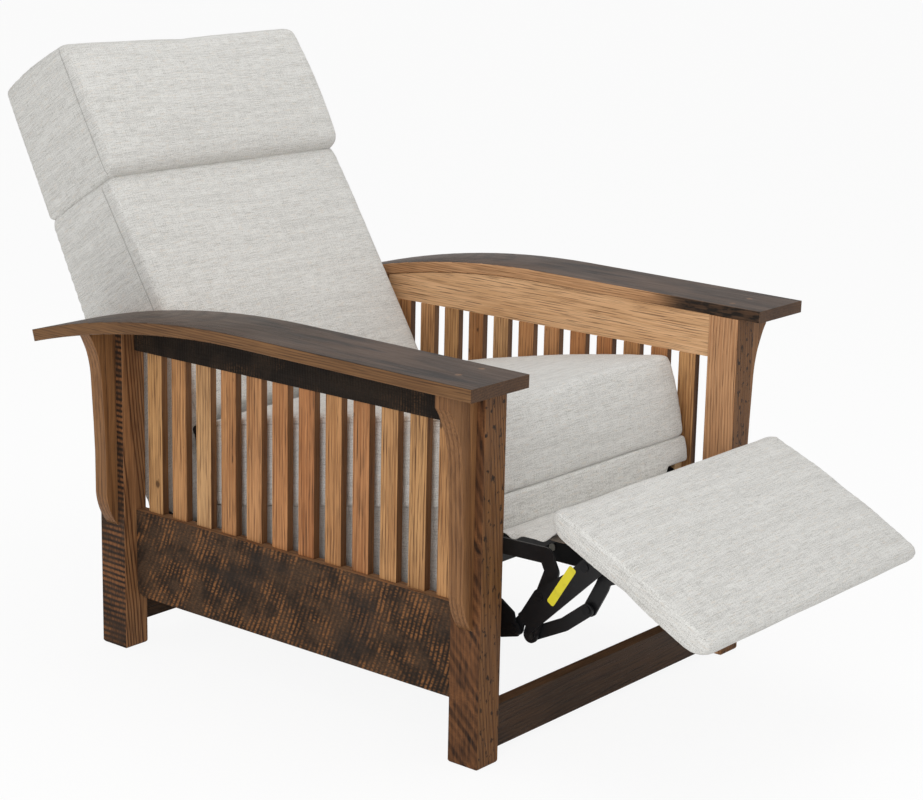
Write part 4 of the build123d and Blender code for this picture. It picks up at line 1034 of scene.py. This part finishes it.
def makeFlap():
    # The flap leaves the band, lies nearly level and rises to the pad's rear edge; its free ends
    # droop into a dog-ear and slow ripples run along it.
    half, loose = flapLook["half"], flapLook["loose"]
    across = np.linspace(-half, half, flapLook["columns"])
    points, uvs = sheetGrid(softPath(fromFront(flapLook["path"]), 0.004, flapLook["rows"]), across)
    t = np.linspace(0, 1, flapLook["rows"])[None]
    edge = np.clip((np.abs(across) - half + loose) / loose, 0, 1)[:, None]
    droop = (0.010 * np.exp(-((t - 0.17) / 0.07) ** 2)
             + 0.004 * np.exp(-((t - 0.55) / 0.10) ** 2))
    points[:, :, 2] -= edge ** 2 * droop
    x = across[:, None]
    waves = np.sin(x * 55) * np.sin(t * 5) + 0.6 * np.sin(x * 23 + 1)
    points[:, :, 2] += waves * 4 * t * (1 - t) * flapLook["ripple"]
    piece = clothPanel("flap", points, uvs, False, linen, "footrest", 0.0012)
    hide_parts("footrest_flap")
    bakeModifiers(piece)
    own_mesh(piece)


hangLook = {"half": 0.2050, "rows": 30, "columns": 101, "ripple": 0.0012, "sag": 0.002,
            "path": ((-0.012, 0.3175), (-0.034, 0.3190), (-0.062, 0.3225), (-0.084, 0.3325),
                     (-0.098, 0.3465))}


def makeUnderCloth():
    # the cloth that hangs under the rear of the footrest: the linen, coloured darker and taupe as
    # painted shade
    half = hangLook["half"]
    across = np.linspace(-half, half, hangLook["columns"])
    points, uvs = sheetGrid(softPath(fromFront(hangLook["path"]), 0.006, hangLook["rows"]), across)
    t = np.linspace(0, 1, hangLook["rows"])[None]
    points[:, :, 2] += (hangLook["ripple"] * np.sin(across * 70)[:, None] * np.sin(t * 4)
                        - hangLook["sag"] * np.sin(t * pi))
    piece = clothPanel("footrestUnderCloth", points, uvs, False, linenInShade, "footrest", 0.0008)
    bakeModifiers(piece)
    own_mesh(piece)


outsideLook = {"half": 0.256, "low": -0.116, "high": 0.648, "proud": 0.0022, "crown": 0.004,
               "turned": 0.004, "rim": (0.03, 0.02)}


def makeOutsideBack():
    # one cloth panel over the rear of the back, a little crowned between its turned-in edges
    half, low, high = (outsideLook[k] for k in ("half", "low", "high"))
    s, t = np.meshgrid(np.linspace(-1, 1, 81), np.linspace(0, 1, 111), indexing="ij")
    up = low + (high - low) * t
    rim = np.minimum(np.clip((1 - np.abs(s)) / outsideLook["rim"][0], 0, 1),
                     np.clip(np.minimum(t, 1 - t) / outsideLook["rim"][1], 0, 1))
    rise = np.sin(rim * pi / 2)
    rear = (rearFace(up) + outsideLook["proud"] * rise
            + outsideLook["crown"] * (1 - s ** 2) * 4 * t * (1 - t)
            - outsideLook["turned"] * (1 - rise))
    points = np.concatenate(((s * half)[..., None], backAt(up, rear)), axis=2)
    uvs = np.stack((s * half, up), axis=2)
    piece = clothPanel("outsideBack", points, uvs, True, linen, "back", 0.0010)
    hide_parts("back_panel")


stripLook = {"middle": (-0.0612, 0.2657), "along": (38.85, -61.65), "long": 0.073,
             "wide": 0.0135, "round": 0.0035, "out": 0.2351, "thick": 0.0004, "count": 48}


def makeStrip():
    # a blank vinyl strip on the near wide link: a rounded outline swept through its thickness
    count, corner = stripLook["count"], stripLook["round"]
    turn = np.linspace(0, 2 * pi, count, endpoint=False)
    u, v = (np.sign(wave) * (stripLook[k] / 2 - corner) + corner * wave
            for k, wave in (("long", np.cos(turn)), ("wide", np.sin(turn))))
    along = np.array(stripLook["along"]) / np.hypot(*stripLook["along"])
    square = np.array((-along[1], along[0]))
    outline = u[:, None] * along + v[:, None] * square
    height, share = np.array(((0.0, 1.0), (0.75, 1.0), (1.0, 0.97))).T
    rings = fromFront(stripLook["middle"]) + share[:, None, None] * outline[None]
    out = np.broadcast_to(-(stripLook["out"] + stripLook["thick"] * height)[:, None, None],
                          rings.shape[:2] + (1,))
    faces = [*gridFaces(3, count), range(count)[::-1], range(2 * count, 3 * count)]
    piece = meshObject("yellowStrip", np.concatenate((out, rings), axis=2).reshape(-1, 3), faces)
    bench = Bench("yellow vinyl", **{"Specular IOR Level": 0.5})
    rub = bench.noise(bench.place, 60.0, 4.0).rise(0.52, 0.75)
    shade = bench.mixed(rub * 0.35, paint(232, 220, 58), paint(190, 176, 52))
    piece.data.materials.append(bench.finish(shade, 0.35 + rub * 0.25, rub, 0.0002))
    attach(piece, "wide_link")


# Floor, world and lamps

white = (1, 1, 1, 1)
studio = {"world": 0.60, "floorGlow": 0.905, "floorHalf": 40.0,
          "lamps": {"overhead": ((0.2, -0.3, 3.2), (0, 0, 0.4), 2.2, 25.0),
                    "front": ((1.8, -3.4, 1.6), (0, 0, 0.4), 1.8, 9.0),
                    "nearSide": ((-3.6, -1.9, 1.5), (0, 0, 0.4), 2.0, 52.0)}}


def makeFloor():
    # near white, and partly glowing for the camera, so that the shadow stays
    bench = Bench("floor")
    grain = bench.noise(bench.place, 3.0)
    bench.finish(bench.mixed(grain * 0.2, paint(250, 250, 249), paint(246, 246, 245)), 0.9)
    glow = bench.node("ShaderNodeEmission", {}, {"Color": white, "Strength": 1.0})
    seen = bench.node("ShaderNodeLightPath", {}, {}, "Is Camera Ray")
    bench.show(bench.node("ShaderNodeMixShader", {}, {0: seen * studio["floorGlow"],
                                                      1: bench.surface, 2: glow}))
    far = studio["floorHalf"]
    floor = meshObject("floor", [(-far, -far, 0), (far, -far, 0), (far, far, 0), (-far, far, 0)],
                       [(0, 1, 2, 3)])
    floor.data.materials.append(bench.owner)


def makeWorld():
    # plain white for the camera and through clear things, softer as light
    bench = Bench("studio", world=True)
    scene.world = bench.owner
    seen, through = (bench.node("ShaderNodeLightPath", {}, {}, ray)
                     for ray in ("Is Camera Ray", "Is Transmission Ray"))
    soft, plain = (bench.node("ShaderNodeBackground", {}, {"Color": white, "Strength": strength})
                   for strength in (studio["world"], 1.0))
    bench.show(bench.node("ShaderNodeMixShader", {}, {0: seen.most(through), 1: soft, 2: plain}))


def makeLamps():
    for name, (place, target, size, power) in studio["lamps"].items():
        data = bpy.data.lights.new(name, "AREA")
        data.size = size
        data.energy = power
        lamp = bpy.data.objects.new(name, data)
        scene.collection.objects.link(lamp)
        aim = (Vector(target) - Vector(place)).to_track_quat("-Z", "Y")
        lamp.matrix_world = Matrix.Translation(Vector(place)) @ aim.to_matrix().to_4x4()


scene.view_settings.view_transform = "Standard"
makeFloor()
makeWorld()
makeLamps()
dressWood()
dressSteel()
dress(makeWebbing(), "seat_webbing", "back_webbing")
for cushionName, cushionLook in cushions.items():
    makeCushion(cushionName, cushionLook)
makeFrontBand()
makeSideCovers()
makeFlap()
makeUnderCloth()
makeOutsideBack()
makeStrip()
print("cloth made")
